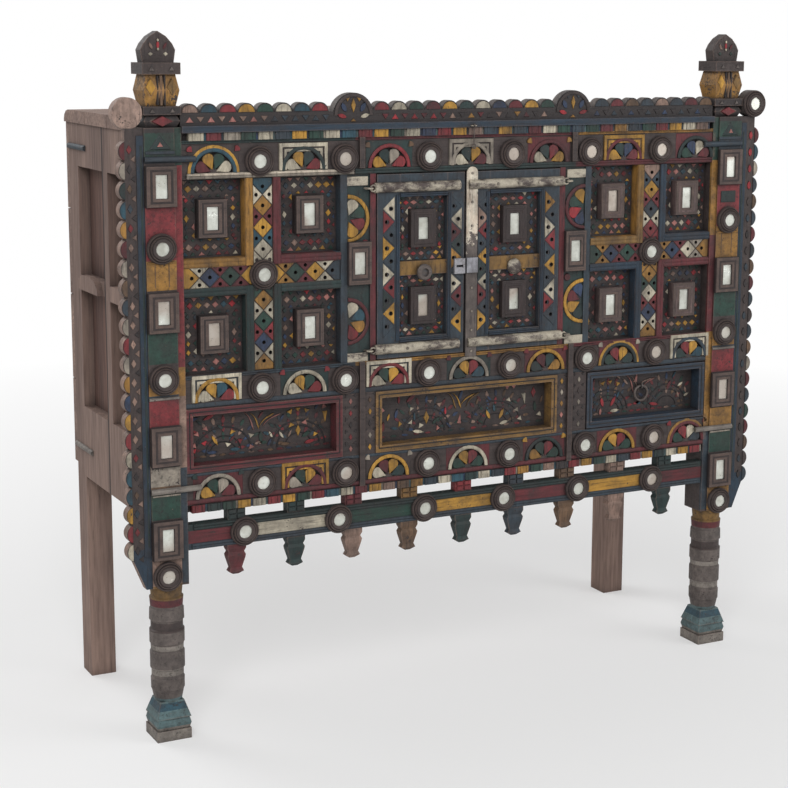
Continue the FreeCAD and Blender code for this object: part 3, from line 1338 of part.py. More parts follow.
def drawer():
    front = ("drawer_front_x", "drawer_front_z", "drawer_front_width", "drawer_front_height")
    keep(group("drawer_frame_set", moulded_frame("drawer_member", *front)), "drawer_frame")
    keep(framed_panel("drawer_panel_board", *front), "drawer_panel")
    x = "drawer_front_x + drawer_side_inset"
    wide = "(drawer_front_width - 2 * drawer_side_inset)"
    z = "drawer_front_z + drawer_gap"
    high = "(drawer_front_height - 3 * drawer_gap)"
    y = "row_back_y"
    boards = [
        box("drawer_bottom", x, y, z, wide, "drawer_length", "drawer_board"),
        box("drawer_left", x, y, z + " + drawer_board", "drawer_board", "drawer_length",
            high + " - drawer_board"),
        box("drawer_right", x + " + %s - drawer_board" % wide, y, z + " + drawer_board", "drawer_board",
            "drawer_length", high + " - drawer_board"),
        box("drawer_back", x + " + drawer_board", y + " + drawer_length - drawer_board",
            z + " + drawer_board", wide + " - 2 * drawer_board", "drawer_board", high + " - drawer_board")]
    keep(group("drawer_boards", boards), "drawer_box")
    eye = ring("pull_eye", "eye_x", "eye_y", "eye_z", "eye_radius", "eye_wire", along_x)
    shank = rod("pull_shank", "eye_x", "eye_y + eye_radius", "eye_z", "eye_shank",
                "row_panel_y - eye_y - eye_radius", along_y)
    keep(fuse("pull_staple_whole", [eye, shank]), "pull_staple")
    pull = ring("pull_ring_whole", "eye_x", "eye_y", "eye_z - ring_radius",
                "ring_radius", "ring_wire", along_y)
    keep(pull, "pull_ring")


drawer()
doc.recompute()

bad = [item.Name for item in doc.Objects if {"Invalid", "Error"} & set(item.State)]
if bad:
    raise RuntimeError("failed objects: " + ", ".join(bad))
labels = [thing.Label for thing in nodes]
if len(set(labels)) != len(labels):
    raise RuntimeError("two pieces share a name")
for thing in nodes:
    if thing.Shape.isNull() or not thing.Shape.isValid():
        raise RuntimeError("no valid shape: " + thing.Label)

os.makedirs("parts", exist_ok=True)
for thing in nodes:
    thing.Shape.exportStep(os.path.join("parts", thing.Label + ".step"))
whole = Part.makeCompound([thing.Shape for thing in nodes]).BoundBox
print("pieces:", len(nodes))
print("across:", round(whole.XLength, 1), "deep:", round(whole.YLength, 1), "high:", round(whole.ZLength, 1))
for name in ("left_hinge_x", "right_hinge_x", "hinge_y", "eye_x", "eye_y", "eye_z", "catch_y", "catch_z"):
    print(name, round(measure(name), 3))
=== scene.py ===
import json
import math
import random

import bpy
from mathutils import Matrix, Vector
from mathutils.geometry import tessellate_polygon

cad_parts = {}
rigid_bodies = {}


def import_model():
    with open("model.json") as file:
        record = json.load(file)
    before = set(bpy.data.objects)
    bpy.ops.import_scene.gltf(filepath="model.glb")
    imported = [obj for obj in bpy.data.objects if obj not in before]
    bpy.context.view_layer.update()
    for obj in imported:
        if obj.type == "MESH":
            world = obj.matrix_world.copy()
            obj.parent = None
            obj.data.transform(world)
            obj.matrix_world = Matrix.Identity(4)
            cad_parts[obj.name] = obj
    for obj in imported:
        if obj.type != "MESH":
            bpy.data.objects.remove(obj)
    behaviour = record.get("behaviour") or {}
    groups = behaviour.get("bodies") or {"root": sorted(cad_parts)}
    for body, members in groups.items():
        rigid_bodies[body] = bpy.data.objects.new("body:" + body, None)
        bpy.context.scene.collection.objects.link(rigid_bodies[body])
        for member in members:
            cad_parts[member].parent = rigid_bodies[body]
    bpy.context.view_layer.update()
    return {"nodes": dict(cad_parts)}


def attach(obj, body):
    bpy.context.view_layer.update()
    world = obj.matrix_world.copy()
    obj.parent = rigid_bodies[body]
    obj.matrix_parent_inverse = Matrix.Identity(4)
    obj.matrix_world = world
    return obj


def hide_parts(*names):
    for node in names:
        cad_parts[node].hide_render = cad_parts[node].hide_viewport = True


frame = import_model()
nodes = frame["nodes"]
scene = bpy.context.scene
scene.view_settings.view_transform = "Standard"
mm = 0.001

# Paints, as red, green and blue out of 255.
paints = {
    "maroon": (88, 38, 42), "red": (114, 42, 46), "scarlet": (146, 44, 50), "pink": (170, 114, 106),
    "ochre": (142, 104, 50), "gold": (168, 126, 52), "brown": (98, 76, 58), "oldGold": (116, 88, 48),
    "green": (34, 58, 50), "darkGreen": (33, 48, 47), "teal": (42, 72, 84), "blue": (44, 58, 82),
    "slate": (46, 56, 64), "deepBlue": (36, 50, 63), "cream": (180, 171, 152), "lime": (205, 192, 174),
    "silver": (142, 133, 121), "bare": (134, 110, 98), "dark": (46, 41, 41), "night": (26, 23, 25),
    "umber": (62, 53, 51), "frame": (50, 41, 40), "rosewood": (92, 76, 74), "plate": (150, 150, 156),
    "russet": (124, 92, 80), "russetDeep": (78, 62, 58), "sideLight": (152, 128, 116), "rust": (86, 66, 56),
    "sideDeep": (100, 82, 76), "greyWood": (92, 84, 80), "greyTeal": (84, 106, 108), "ash": (124, 117, 110),
}

# Where the carved faces lie, in millimetres from the middle of the depth.
planes = {"rail": -243, "post": -249, "jamb": -240, "door": -245, "doorPanel": -231, "bayPanel": -219,
          "rowPanel": -215, "rowFrame": -246, "crest": -241, "wing": -247, "finial": -230, "cap": -250,
          "tooth": -233, "bar": -254.6, "strap": -248}
# Depths where the paint of a face begins.
paintStart = {"post": -240, "rail": -241, "wing": -246.5, "crest": -240.5, "door": -242.5, "doorBack": -225,
              "panelBack": -229}
# The chest's width between the posts, and the lines its parts are set out on.
bayWidth = 1248
postX = 668.5
bayMiddle = 933.5


def colour(key):
    shares = [part / 255 for part in paints[key]]
    linear = [s / 12.92 if s <= 0.04045 else ((s + 0.055) / 1.055) ** 2.4 for s in shares]
    return (*linear, 1)


def addNode(tree, kind, inputs=None, **settings):
    made = tree.nodes.new(kind)
    for key, value in settings.items():
        setattr(made, key, value)
    for key, value in (inputs or {}).items():
        if isinstance(value, bpy.types.NodeSocket):
            tree.links.new(value, made.inputs[key])
        else:
            made.inputs[key].default_value = value
    return made


def mixColours(tree, factor, first, second, mode="MIX"):
    made = addNode(tree, "ShaderNodeMix", {0: factor, 6: first, 7: second}, data_type="RGBA",
                   blend_type=mode)
    return made.outputs[2]


def maths(tree, operation, first, second=0.0):
    return addNode(tree, "ShaderNodeMath", {0: first, 1: second}, operation=operation).outputs[0]


def spread(tree, value, low, high, toLow=0.0, toHigh=1.0):
    made = addNode(tree, "ShaderNodeMapRange", {"Value": value, "From Min": low, "From Max": high,
                                                "To Min": toLow, "To Max": toHigh})
    return made.outputs["Result"]


def noise(tree, place, scale, detail=4.0, rough=0.55, stretch=(1, 1, 1)):
    turned = addNode(tree, "ShaderNodeMapping", {"Vector": place, "Scale": stretch})
    made = addNode(tree, "ShaderNodeTexNoise", {"Vector": turned.outputs[0], "Scale": scale,
                                                "Detail": detail, "Roughness": rough})
    return made.outputs["Fac"]


def partAlong(tree, place, axis):
    return addNode(tree, "ShaderNodeSeparateXYZ", {"Vector": place}).outputs[axis]


# What a finish takes its colour from is a paint's name, or a function that builds the colour's nodes.
def sourceColour(source, tree, place):
    return colour(source) if isinstance(source, str) else source(tree, place)


def ownPaint(tree, place):
    return addNode(tree, "ShaderNodeAttribute", attribute_name="paint").outputs["Color"]


# stops say where each paint starts, in millimetres, from the lowest up: "0 ash, 24 greyTeal".
def bands(axis, low, high, stops):
    starts = [(float(stop.split()[0]), stop.split()[1]) for stop in stops.split(",")]

    def source(tree, place):
        share = spread(tree, partAlong(tree, place, axis), low * mm, high * mm)
        ramp = addNode(tree, "ShaderNodeValToRGB", {"Fac": share})
        ramp.color_ramp.interpolation = "CONSTANT"
        elements = ramp.color_ramp.elements
        elements.remove(elements[1])
        elements[0].position = 0
        elements[0].color = colour(starts[0][1])
        for start, key in starts[1:]:
            elements.new((start - low) / (high - low)).color = colour(key)
        return ramp.outputs["Color"]
    return source


# One source beyond a plane, another before it.
def where(axis, limit, above, below):
    def source(tree, place):
        past = maths(tree, "GREATER_THAN", partAlong(tree, place, axis), limit * mm)
        return mixColours(tree, past, sourceColour(below, tree, place), sourceColour(above, tree, place))
    return source


# One paint beyond a plane and another before it, with a flaking edge as deep as ragged.
def flaking(axis, limit, ragged, above, below):
    def source(tree, place):
        shift = maths(tree, "SUBTRACT", noise(tree, place, 70.0, 8, 0.75), 0.5)
        moved = maths(tree, "ADD", partAlong(tree, place, axis),
                      maths(tree, "MULTIPLY", shift, 4 * ragged * mm))
        past = maths(tree, "GREATER_THAN", moved, limit * mm)
        return mixColours(tree, past, colour(below), colour(above))
    return source


# Two paints in blotches.
def mottled(first, second):
    def source(tree, place):
        blotches = noise(tree, place, 55.0, 6, 0.7)
        return mixColours(tree, spread(tree, blotches, 0.42, 0.62), colour(first), colour(second))
    return source


def startFinish(name):
    material = bpy.data.materials.new(name)
    material.use_nodes = True
    tree = material.node_tree
    tree.nodes.clear()
    return material, tree, addNode(tree, "ShaderNodeTexCoord").outputs["Object"]


def shade(tree, inputs, specular=0.5):
    shader = addNode(tree, "ShaderNodeBsdfPrincipled", {**inputs, "Specular IOR Level": specular})
    addNode(tree, "ShaderNodeOutputMaterial", {"Surface": shader.outputs[0]})


def relief(tree, height, distance):
    inputs = {"Height": height, "Distance": distance, "Strength": 0.8}
    return addNode(tree, "ShaderNodeBump", inputs).outputs[0]


# Dirt and painted shade that darken the corners, gaps and recesses towards night, as far out as reach.
def cornerDirtAndShade(tree, shown, reach, low, high, shadeAndSoot):
    corner = addNode(tree, "ShaderNodeAmbientOcclusion", {"Distance": reach}, samples=4).outputs["AO"]
    return mixColours(tree, spread(tree, corner, low, high, shadeAndSoot, 0.0), shown, colour("night"))


paintLook = {
    "wear": 0.5,          # how much of the paint has rubbed off
    "patch": 38.0,        # worn patches to the metre
    "fleck": 260.0,       # small chips in the paint
    "brush": 110.0,       # brush strokes
    "scratch": 240.0,
    "dirt": 16.0,         # blotches of dirt
    "grime": 0.7,
    "streak": 0.45,
    "bump": 0.0005,
    "corner": 0.011,      # reach of the dirt and painted shade in the corners, in metres
    # how dark the dirt and painted shade in the corners grow
    "shadeAndSoot": 0.8,
    "edge": 0.0,          # how far the edges have rubbed pale
    "under": "dark",
}


# Old paint: streaked by the brush, chipped, darkened in its corners by dirt and painted shade, and pale on
# its edges.
def agedPaint(name, source, **changes):
    look = {**paintLook, **changes}
    material, tree, place = startFinish(name)
    paint = sourceColour(source, tree, place)
    patches = noise(tree, place, look["patch"], 8, 0.68)
    flecks = noise(tree, place, look["fleck"], 3, 0.6)
    brushed = noise(tree, place, look["brush"], 6, 0.7, look.get("grain", (1, 1, 0.25)))
    dirt = noise(tree, place, look["dirt"], 8, 0.7)
    grey = spread(tree, brushed, 0.3, 0.7, 0.12, 0.95)
    strokes = addNode(tree, "ShaderNodeCombineColor", {0: grey, 1: grey, 2: grey}).outputs[0]
    lit = mixColours(tree, look["streak"], paint, strokes, "OVERLAY")
    dirty = mixColours(tree, maths(tree, "MULTIPLY", spread(tree, dirt, 0.42, 0.68), look["grime"]),
                       lit, colour("dark"))
    worn = maths(tree, "ADD", maths(tree, "MULTIPLY", patches, 0.55), maths(tree, "MULTIPLY", flecks, 0.45))
    limit = 0.66 - 0.16 * look["wear"]
    rubbed = spread(tree, worn, limit, limit + 0.045)
    scratches = noise(tree, place, look["scratch"], 5, 0.6, look.get("grain", (1, 1, 0.12)))
    dirty = mixColours(tree, spread(tree, scratches, 0.56, 0.66, 0, 0.5), dirty, colour("night"))
    under = mixColours(tree, spread(tree, brushed, 0.3, 0.7), colour(look["under"]), colour("umber"))
    shown = mixColours(tree, rubbed, dirty, under)
    lifted = maths(tree, "SUBTRACT", flecks, maths(tree, "MULTIPLY", patches, 0.3))
    shown = mixColours(tree, spread(tree, lifted, 0.52, 0.6, 0, 0.4), shown, colour("bare"))
    if look["edge"]:
        inward = addNode(tree, "ShaderNodeAmbientOcclusion", {"Distance": 0.003}, samples=4, inside=True)
        rough = maths(tree, "MULTIPLY", spread(tree, inward.outputs["AO"], 0.4, 0.85, 1.0, 0.0),
                      spread(tree, patches, 0.4, 0.6, 0.3, 1.0))
        shown = mixColours(tree, maths(tree, "MULTIPLY", rough, look["edge"]), shown, colour("bare"))
    # Corners, gaps and recesses darkened towards night: dirt and painted shade.
    shown = cornerDirtAndShade(tree, shown, look["corner"], 0.25, 0.85, look["shadeAndSoot"])
    # Painted shade: carved patterns darken towards night at their foot, where their relief meets the ground.
    if look.get("rim"):
        depth = addNode(tree, "ShaderNodeAttribute", attribute_name="rim").outputs["Fac"]
        shown = mixColours(tree, spread(tree, depth, 0.0, 0.7, 0.25, 1.0), colour("night"), shown)
    height = maths(tree, "SUBTRACT", maths(tree, "ADD", maths(tree, "MULTIPLY", flecks, 0.5),
                                           maths(tree, "MULTIPLY", brushed, 0.4)), rubbed)
    shade(tree, {"Base Color": shown, "Roughness": spread(tree, flecks, 0.3, 0.7, 0.5, 0.78),
                 "Normal": relief(tree, height, look["bump"])}, 0.35)
    return material


woodLook = {"lines": 150.0, "broad": 9.0, "cracks": 60.0, "corner": 0.03, "bump": 0.0006}


# Unpainted weathered wood; grain is the stretch that makes its lines, seam a dark joint at that depth.
def oldWood(name, light, deep, grain, seam=None):
    material, tree, place = startFinish(name)
    lines = noise(tree, place, woodLook["lines"], 7, 0.65, grain)
    broad = noise(tree, place, woodLook["broad"], 4, 0.6, grain)
    cracks = noise(tree, place, woodLook["cracks"], 9, 0.75, grain)
    tone = mixColours(tree, spread(tree, broad, 0.32, 0.68), colour(deep), colour(light))
    lined = mixColours(tree, spread(tree, lines, 0.42, 0.7, 0, 0.55), tone, colour("umber"))
    split = spread(tree, cracks, 0.63, 0.68)
    shown = mixColours(tree, maths(tree, "MULTIPLY", split, 0.7), lined, colour("night"))
    if seam is not None:
        away = maths(tree, "ABSOLUTE", maths(tree, "SUBTRACT", partAlong(tree, place, "Y"), seam * mm))
        shown = mixColours(tree, spread(tree, away, 0.002, 0.005, 0.95, 0.0), shown, colour("night"))
    # Corners and gaps darkened towards night: dirt and painted shade.
    shown = cornerDirtAndShade(tree, shown, woodLook["corner"], 0.2, 0.9, 0.6)
    height = maths(tree, "SUBTRACT", maths(tree, "MULTIPLY", lines, 0.4), split)
    shade(tree, {"Base Color": shown, "Roughness": spread(tree, lines, 0.3, 0.7, 0.6, 0.85),
                 "Normal": relief(tree, height, woodLook["bump"])}, 0.25)
    return material


ironLook = {"patch": 34.0, "fine": 420.0, "corner": 0.014, "bump": 0.001}


# Beaten iron under worn paint; covered is the painted share.
def oldIron(name, paintKey, covered):
    material, tree, place = startFinish(name)
    patches = noise(tree, place, ironLook["patch"], 10, 0.78, (0.5, 1, 1))
    fine = noise(tree, place, ironLook["fine"], 4, 0.6)
    metal = mixColours(tree, spread(tree, patches, 0.32, 0.56), colour("umber"), colour("greyWood"))
    metal = mixColours(tree, spread(tree, fine, 0.55, 0.68, 0, 0.7), metal, colour("rust"))
    mixed = maths(tree, "ADD", maths(tree, "MULTIPLY", patches, 0.8), maths(tree, "MULTIPLY", fine, 0.2))
    limit = 0.6 - 0.24 * covered
    painted = spread(tree, mixed, limit, limit + 0.1)
    paint = mixColours(tree, spread(tree, fine, 0.4, 0.65, 0, 0.45), colour(paintKey), colour("greyWood"))
    # Corners and gaps darkened towards night: dirt and painted shade.
    shown = cornerDirtAndShade(tree, mixColours(tree, painted, metal, paint), ironLook["corner"], 0.2, 0.9, 0.7)
    shade(tree, {"Base Color": shown, "Normal": relief(tree, mixed, ironLook["bump"]),
                 "Roughness": spread(tree, fine, 0.3, 0.7, 0.4, 0.68),
                 "Metallic": spread(tree, painted, 0, 1, 0.45, 0)})
    return material


glassLook = {"cloud": 26.0, "spots": 210.0, "age": 7.3, "dull": (0.5, 0.5, 0.44, 1),
             "clear": (0.74, 0.76, 0.7, 1), "brown": (0.34, 0.24, 0.19, 1), "foxing": (0.12, 0.1, 0.08, 1)}


def oldGlass(name):
    material, tree, place = startFinish(name)
    cloud = noise(tree, place, glassLook["cloud"], 6, 0.65)
    spots = noise(tree, place, glassLook["spots"], 6, 0.7)
    age = noise(tree, place, glassLook["age"], 1, 0.5)
    tint = mixColours(tree, spread(tree, cloud, 0.35, 0.65), glassLook["dull"], glassLook["clear"])
    tint = mixColours(tree, spread(tree, age, 0.54, 0.6, 0, 0.6), tint, glassLook["brown"])
    foxed = mixColours(tree, spread(tree, spots, 0.6, 0.7, 0, 0.75), tint, glassLook["foxing"])
    shade(tree, {"Base Color": foxed, "Metallic": 0.35,
                 "Roughness": spread(tree, cloud, 0.3, 0.7, 0.12, 0.3)})
    return material


print("stage: materials")
upright = (1, 1, 0.06)
across = (0.06, 1, 1)
deepwards = (1, 0.06, 1)
carvedWood = agedPaint("carvedWood", "umber", wear=0.55, grain=across, edge=0.35)
darkGround = agedPaint("darkGround", mottled("dark", "umber"), wear=0.45, under="maroon", grain=across)
doorGround = agedPaint("doorGround", where("Y", paintStart["panelBack"], "sideDeep",
                                           mottled("dark", "frame")), wear=0.45, under="umber")
# The inlays take the painted shade at the foot of their relief.
inlayPaint = agedPaint("inlayPaint", ownPaint, rim=True, wear=0.3)
mirrorGlass = oldGlass("mirrorGlass")
paintedIron = oldIron("paintedIron", "cream", 0.61)
creamIron = oldIron("creamIron", "cream", 0.75)
darkIron = oldIron("darkIron", "slate", 0.3)
greyIron = oldIron("greyIron", "plate", 0.9)
sideUpright = oldWood("sideUpright", "sideLight", "sideDeep", upright)
sideAlong = oldWood("sideAlong", "bare", "umber", deepwards)
sideFrame = oldWood("sideFrame", "sideLight", "sideDeep", upright, seam=14)
sidePanel = oldWood("sidePanel", "russet", "russetDeep", upright)
boardAcross = oldWood("boardAcross", "sideLight", "sideDeep", across)
boardUpright = oldWood("boardUpright", "bare", "umber", upright)

legStops = ("0 ash, 24 greyTeal, 62 teal, 72 greyTeal, 84 greyWood, 131 ash, 147 greyWood, 184 ash, "
            "196 greyWood, 222 umber, 242 greyWood, 276 maroon, 292 oldGold, ")
postStops = {
    "left": "321 bare, 374 umber, 456 green, 512 brown, 524 silver, 568 umber, 646 red, 698 slate, "
            "706 ochre, 728 umber, 770 green, 838 umber, 911 ochre, 972 red, 1077 umber, 1156 deepBlue, "
            "1166 green, 1216 dark",
    "right": "321 ochre, 374 umber, 456 green, 512 slate, 522 ochre, 574 umber, 646 red, 698 slate, "
             "706 ochre, 728 umber, 772 green, 832 umber, 908 ochre, 980 red, 1074 umber, 1154 slate, "
             "1174 green, 1216 dark",
}
beadStops = {"left": "0 umber, 321 slate, 560 bare, 700 ochre, 760 red, 1150 green",
             "right": "0 umber, 321 slate, 520 ochre, 740 maroon, 960 ochre, 1126 green"}
finialPaint = bands("Z", 1221, 1425, "1221 dark, 1250 dark, 1266 ochre, 1326 umber, 1348 umber")
postTop, legTop, beadX = 1226, 321, 639


def frontPost(side):
    face = bands("Z", 0, postTop, legStops + postStops[side])
    bead = bands("Z", 0, postTop, beadStops[side])
    inner = where("X", -beadX, bead, face) if side == "left" else where("X", beadX, face, bead)
    behind = where("Y", paintStart["post"], "umber", inner)
    return agedPaint(side + "PostPaint", where("Z", legTop, behind, face), wear=0.45, edge=0.5,
                     grain=(0.6, 1, 0.6))


pendantPitch = 130
pendantPaint = "maroon darkGreen bare brown darkGreen slate brown bare darkGreen".split()
spacerPaint = "darkGreen darkGreen maroon ochre red slate brown bare darkGreen".split()


def pendantBands(keys):
    stops = ["%g %s" % (pendantPitch * (k - 4.5), key) for k, key in enumerate(keys)]
    return bands("X", -600, 600, ",".join(stops))


def bayBands(stops):
    return bands("X", -bayWidth / 2, bayWidth / 2, stops)


lowRailPaint = bayBands("-624 maroon, -504 cream, -296 green, -96 gold, 96 maroon, 286 gold, 482 maroon")
mouldingPaint = where("Z", bayMiddle,
                      bayBands("-624 ochre, -456 maroon, -300 teal, 0 teal, 320 ochre, 466 deepBlue"),
                      bayBands("-624 darkGreen, -456 darkGreen, 0 deepBlue, 466 maroon"))
doorFace = bands("Z", 740, 1130, "740 slate, 913.1 oldGold, 942.1 slate")
wingFace = where("Z", 404, "umber", "deepBlue")
jambPaint = {"left": bands("X", -300, -200, "-300 slate, -273 darkGreen, -222 maroon"),
             "right": bands("X", 220, 320, "220 maroon, 242 darkGreen, 293 slate")}
strapPaint = where("Z", 944, flaking("Z", 985, 60, "lime", "greyWood"), where("Z", 912, "plate", "greyWood"))

nodeFinish = {
    "left_front_post": frontPost("left"),
    "right_front_post": frontPost("right"),
    "left_wing": agedPaint("leftWingPaint", where("Z", postTop, "sideLight", where(
        "Y", paintStart["wing"], "bare", wingFace))),
    "right_wing": agedPaint("rightWingPaint", where("Y", paintStart["wing"], "greyWood", wingFace)),
    "crest_board": agedPaint("crestPaint", where("Y", paintStart["crest"], "greyWood", "dark"),
                             grain=across),
    "cornice": agedPaint("cornicePaint", "deepBlue", wear=0.35, grain=across, edge=0.4),
    "bottom_rail": agedPaint("bottomRailPaint", where("Z", 428, "darkGreen", where(
        "Z", 402, where("Y", paintStart["rail"], "umber", lowRailPaint), "slate")), grain=across),
    "spacer_blocks": agedPaint("spacerPaint", pendantBands(spacerPaint), edge=0.4),
    "pendants": agedPaint("pendantPaint", pendantBands(pendantPaint), edge=0.7),
    "bay_mouldings": agedPaint("mouldingPaint", mouldingPaint, wear=0.4, edge=0.5),
    "left_jamb": agedPaint("leftJambPaint", jambPaint["left"], wear=0.3),
    "right_jamb": agedPaint("rightJambPaint", jambPaint["right"], wear=0.3),
    "row_frames": agedPaint("rowFramePaint", bands("X", -640, 240, "-640 maroon, -250 oldGold"), wear=0.65,
                            grime=0.85, grain=across, edge=0.5),
    "drawer_frame": agedPaint("drawerFramePaint", "deepBlue", grain=across, edge=0.4),
    "left_finial": agedPaint("leftFinialPaint", finialPaint, wear=0.75, edge=0.6),
    "right_finial": agedPaint("rightFinialPaint", finialPaint, wear=0.85, edge=0.6),
    "closing_strap": agedPaint("strapPaint", strapPaint, wear=0.35, patch=70.0, under="umber"),
    "corner_straps": agedPaint("cornerPaint", where("Z", 900, "slate", "ash"), wear=0.45, under="umber",
                               grain=across),
    "iron_staples": creamIron, "hasp_plate": greyIron, "back_frame": boardUpright,
    # The right boss takes the pale painted iron as a painted highlight for the gleam on its rim; the left
    # stays dark iron.
    "left_door_boss": darkIron, "right_door_boss": paintedIron,
}
doorPaint = agedPaint("doorPaint", where("Y", paintStart["doorBack"], "sideDeep", where(
    "Y", paintStart["door"], doorFace, "slate")), wear=0.45, under="umber", edge=0.5)
for names, finish in (
        ("left_door_frame right_door_frame", doorPaint),
        ("left_door_bars right_door_bars", paintedIron),
        ("left_side_frame right_side_frame", sideFrame),
        ("left_side_panels right_side_panels", sidePanel),
        ("left_rear_post right_rear_post", sideUpright),
        ("catch_hook pull_ring pull_staple", darkIron),
        ("row_panels drawer_panel left_bay_panels right_bay_panels", darkGround),
        ("left_door_panels right_door_panels", doorGround),
        ("mirrors left_door_mirrors right_door_mirrors", mirrorGlass),
        ("top_boards floor_boards back_boards", boardAcross),
        ("drawer_box drawer_case", sideAlong)):
    nodeFinish.update((name, finish) for name in names.split())
for name, node in nodes.items():
    node.data.materials.clear()
    node.data.materials.append(nodeFinish.get(name, carvedWood))


# The carver's shapes follow. Each is one unit across and high, and stands from y = 0 to y = -1.

# Twice the area inside a loop, below zero when it runs clockwise.
def doubleArea(loop):
    return sum(here[0] * after[1] - after[0] * here[1] for here, after in zip(loop, [*loop[1:], loop[0]]))


# The loop drawn in by the same amount along every side.
def shrink(loop, inset):
    turn = 1 if doubleArea(loop) > 0 else -1
    moved = []
    for before, here, after in zip([loop[-1], *loop[:-1]], loop, [*loop[1:], loop[0]]):
        here = Vector(here)
        first = (here - Vector(before)).normalized()
        second = (Vector(after) - here).normalized()
        firstIn = Vector((-first.y, first.x)) * turn
        secondIn = Vector((-second.y, second.x)) * turn
        moved.append(here + (firstIn + secondIn) * (inset / max(0.35, 1 + firstIn.dot(secondIn))))
    return moved


# The four-sided faces between a ring of points and the next one; both have count points.
def joinRings(start, after, count):
    return [[start + i, start + (i + 1) % count, after + (i + 1) % count, after + i] for i in range(count)]


def turnedOver(faces):
    return [face[::-1] for face in faces]


# A raised chip with sloping sides, and straight holes through it.
def plate(outline, holes=(), inset=0.06):
    if doubleArea(outline) < 0:
        outline = outline[::-1]
    points, rims, faces, starts = [], [], [], []
    tops = [shrink(outline, inset), *holes]
    for foot, top in zip((outline, *holes), tops):
        starts.append((len(points), len(foot)))
        points += [Vector((p[0], 0, p[1])) for p in foot] + [Vector((p[0], -1, p[1])) for p in top]
        # 0 at the foot and 1 at the top, for the painted shade at the foot of the relief.
        rims += [0.0] * len(foot) + [1.0] * len(top)
    low = [start + i for start, count in starts for i in range(count)]
    high = [start + count + i for start, count in starts for i in range(count)]
    for a, b, c in tessellate_polygon([[Vector((p[0], p[1], 0)) for p in top] for top in tops]):
        first, second, third = (points[high[i]] for i in (a, b, c))
        order = (a, b, c) if (second - first).cross(third - first).y < 0 else (a, c, b)
        faces.append([high[i] for i in order])
        faces.append([low[i] for i in reversed(order)])
    for number, (start, count) in enumerate(starts):
        sides = joinRings(start, start + count, count)
        faces += turnedOver(sides) if number else sides
    return points, rims, faces


# A moulding: the profile (across, depth) drawn along x or z.
def bar(profile, axis):
    points = [Vector((end, depth, side) if axis == "x" else (side, depth, end))
              for end in (-0.5, 0.5) for side, depth in profile]
    count = len(profile)
    sides = joinRings(0, count, count)
    faces = sides if axis == "z" else turnedOver(sides)
    faces += [list(range(count)), list(range(2 * count - 1, count - 1, -1))]
    # Darker towards the foot, for the painted shade at the foot of the relief.
    return points, [min(1.0, 0.55 - p.y) for p in points], faces


def curve(count, start, end, radiusX, radiusZ, centre=(0, 0)):
    return [(centre[0] + radiusX * math.cos(math.radians(start + (end - start) * i / count)),
             centre[1] + radiusZ * math.sin(math.radians(start + (end - start) * i / count)))
            for i in range(count + 1)]


def roundHole(x, z, radiusX, radiusZ, count=8):
    return curve(count, 0, 360, radiusX, radiusZ, (x, z))[:-1]


# Half a ring, from its foot line upwards, with a rounded face; width is its share of the whole.
def mouldedRing(steps=14, width=0.08):
    profile = ((0.5, 0), (0.5, -0.6), (0.5 - 0.3 * width, -1), (0.5 - 0.7 * width, -1), (0.5 - width, -0.6),
               (0.5 - width, 0))
    points, rims, faces = [], [], []
    for i in range(steps + 1):
        angle = math.pi * i / steps
        for radius, depth in profile:
            points.append(Vector((radius * math.cos(angle), depth, radius * math.sin(angle))))
            # Darker towards the foot, for the painted shade at the foot of the relief.
            rims.append(max(0.0, -depth))
    count = len(profile)
    for i in range(steps):
        faces += joinRings(i * count, (i + 1) * count, count)
    faces += [list(range(count - 1, -1, -1)), [steps * count + j for j in range(count)]]
    return points, rims, faces


glassWide, glassHigh = 23, 45


# A mirror's frame at its real size; steps are (share of the border from outside, depth).
def steppedFrame(wide, high, thick, steps):
    points, rims, faces = [], [], []
    for share, depth in steps:
        halfX = (wide + (glassWide - wide) * share) / 2 * mm
        halfZ = (high + (glassHigh - high) * share) / 2 * mm
        for x, z in ((-halfX, -halfZ), (halfX, -halfZ), (halfX, halfZ), (-halfX, halfZ)):
            points.append(Vector((x, -depth * mm, z)))
            # Darker towards the foot, for the painted shade at the foot of the relief.
            rims.append(0.35 + 0.65 * depth / thick)
    for ring in range(len(steps)):
        faces += joinRings(4 * ring, 4 * ((ring + 1) % len(steps)), 4)
    return points, rims, faces


# The steps of a mirror's frame, from its foot to the glass.
def frameSteps(thick, sunk):
    return ((0, 0), (0, thick - sunk), (0.1, thick - sunk * 0.6), (0.16, thick - sunk),
            (0.36, thick - sunk * 0.9), (0.42, thick), (0.62, thick), (0.7, thick - sunk * 0.7),
            (0.86, thick - sunk * 0.8), (1, thick - sunk), (1, thick - sunk - 1))


triangle = [(-0.5, -0.5), (0.5, -0.5), (0, 0.5)]
diamond = [(0, -0.5), (0.5, 0), (0, 0.5), (-0.5, 0)]
reedProfile = [(-0.5, 0), (-0.5, -0.5), (-0.4, -0.9), (-0.25, -1), (-0.1, -0.85), (0, -0.5), (0.1, -0.85),
               (0.25, -1), (0.4, -0.9), (0.5, -0.5), (0.5, 0)]
bandProfile = [(-0.5, 0), (-0.5, -0.7), (-0.4, -1), (0.4, -1), (0.5, -0.7), (0.5, 0)]
rodProfile = [(-0.5, 0), (-0.46, -0.4), (-0.33, -0.78), (-0.12, -0.98), (0.12, -0.98), (0.33, -0.78),
              (0.46, -0.4), (0.5, 0)]
toothProfile = [(-0.5, 0), (-0.5, -0.9), (-0.46, -1), (-0.3, -1), (-0.26, -0.93), (-0.22, -1), (0.22, -1),
                (0.26, -0.93), (0.3, -1), (0.46, -1), (0.5, -0.9), (0.5, 0)]
petalLoop = [(0, -0.5)] + curve(6, -8, 188, 0.5, 0.32, (0, 0.18))
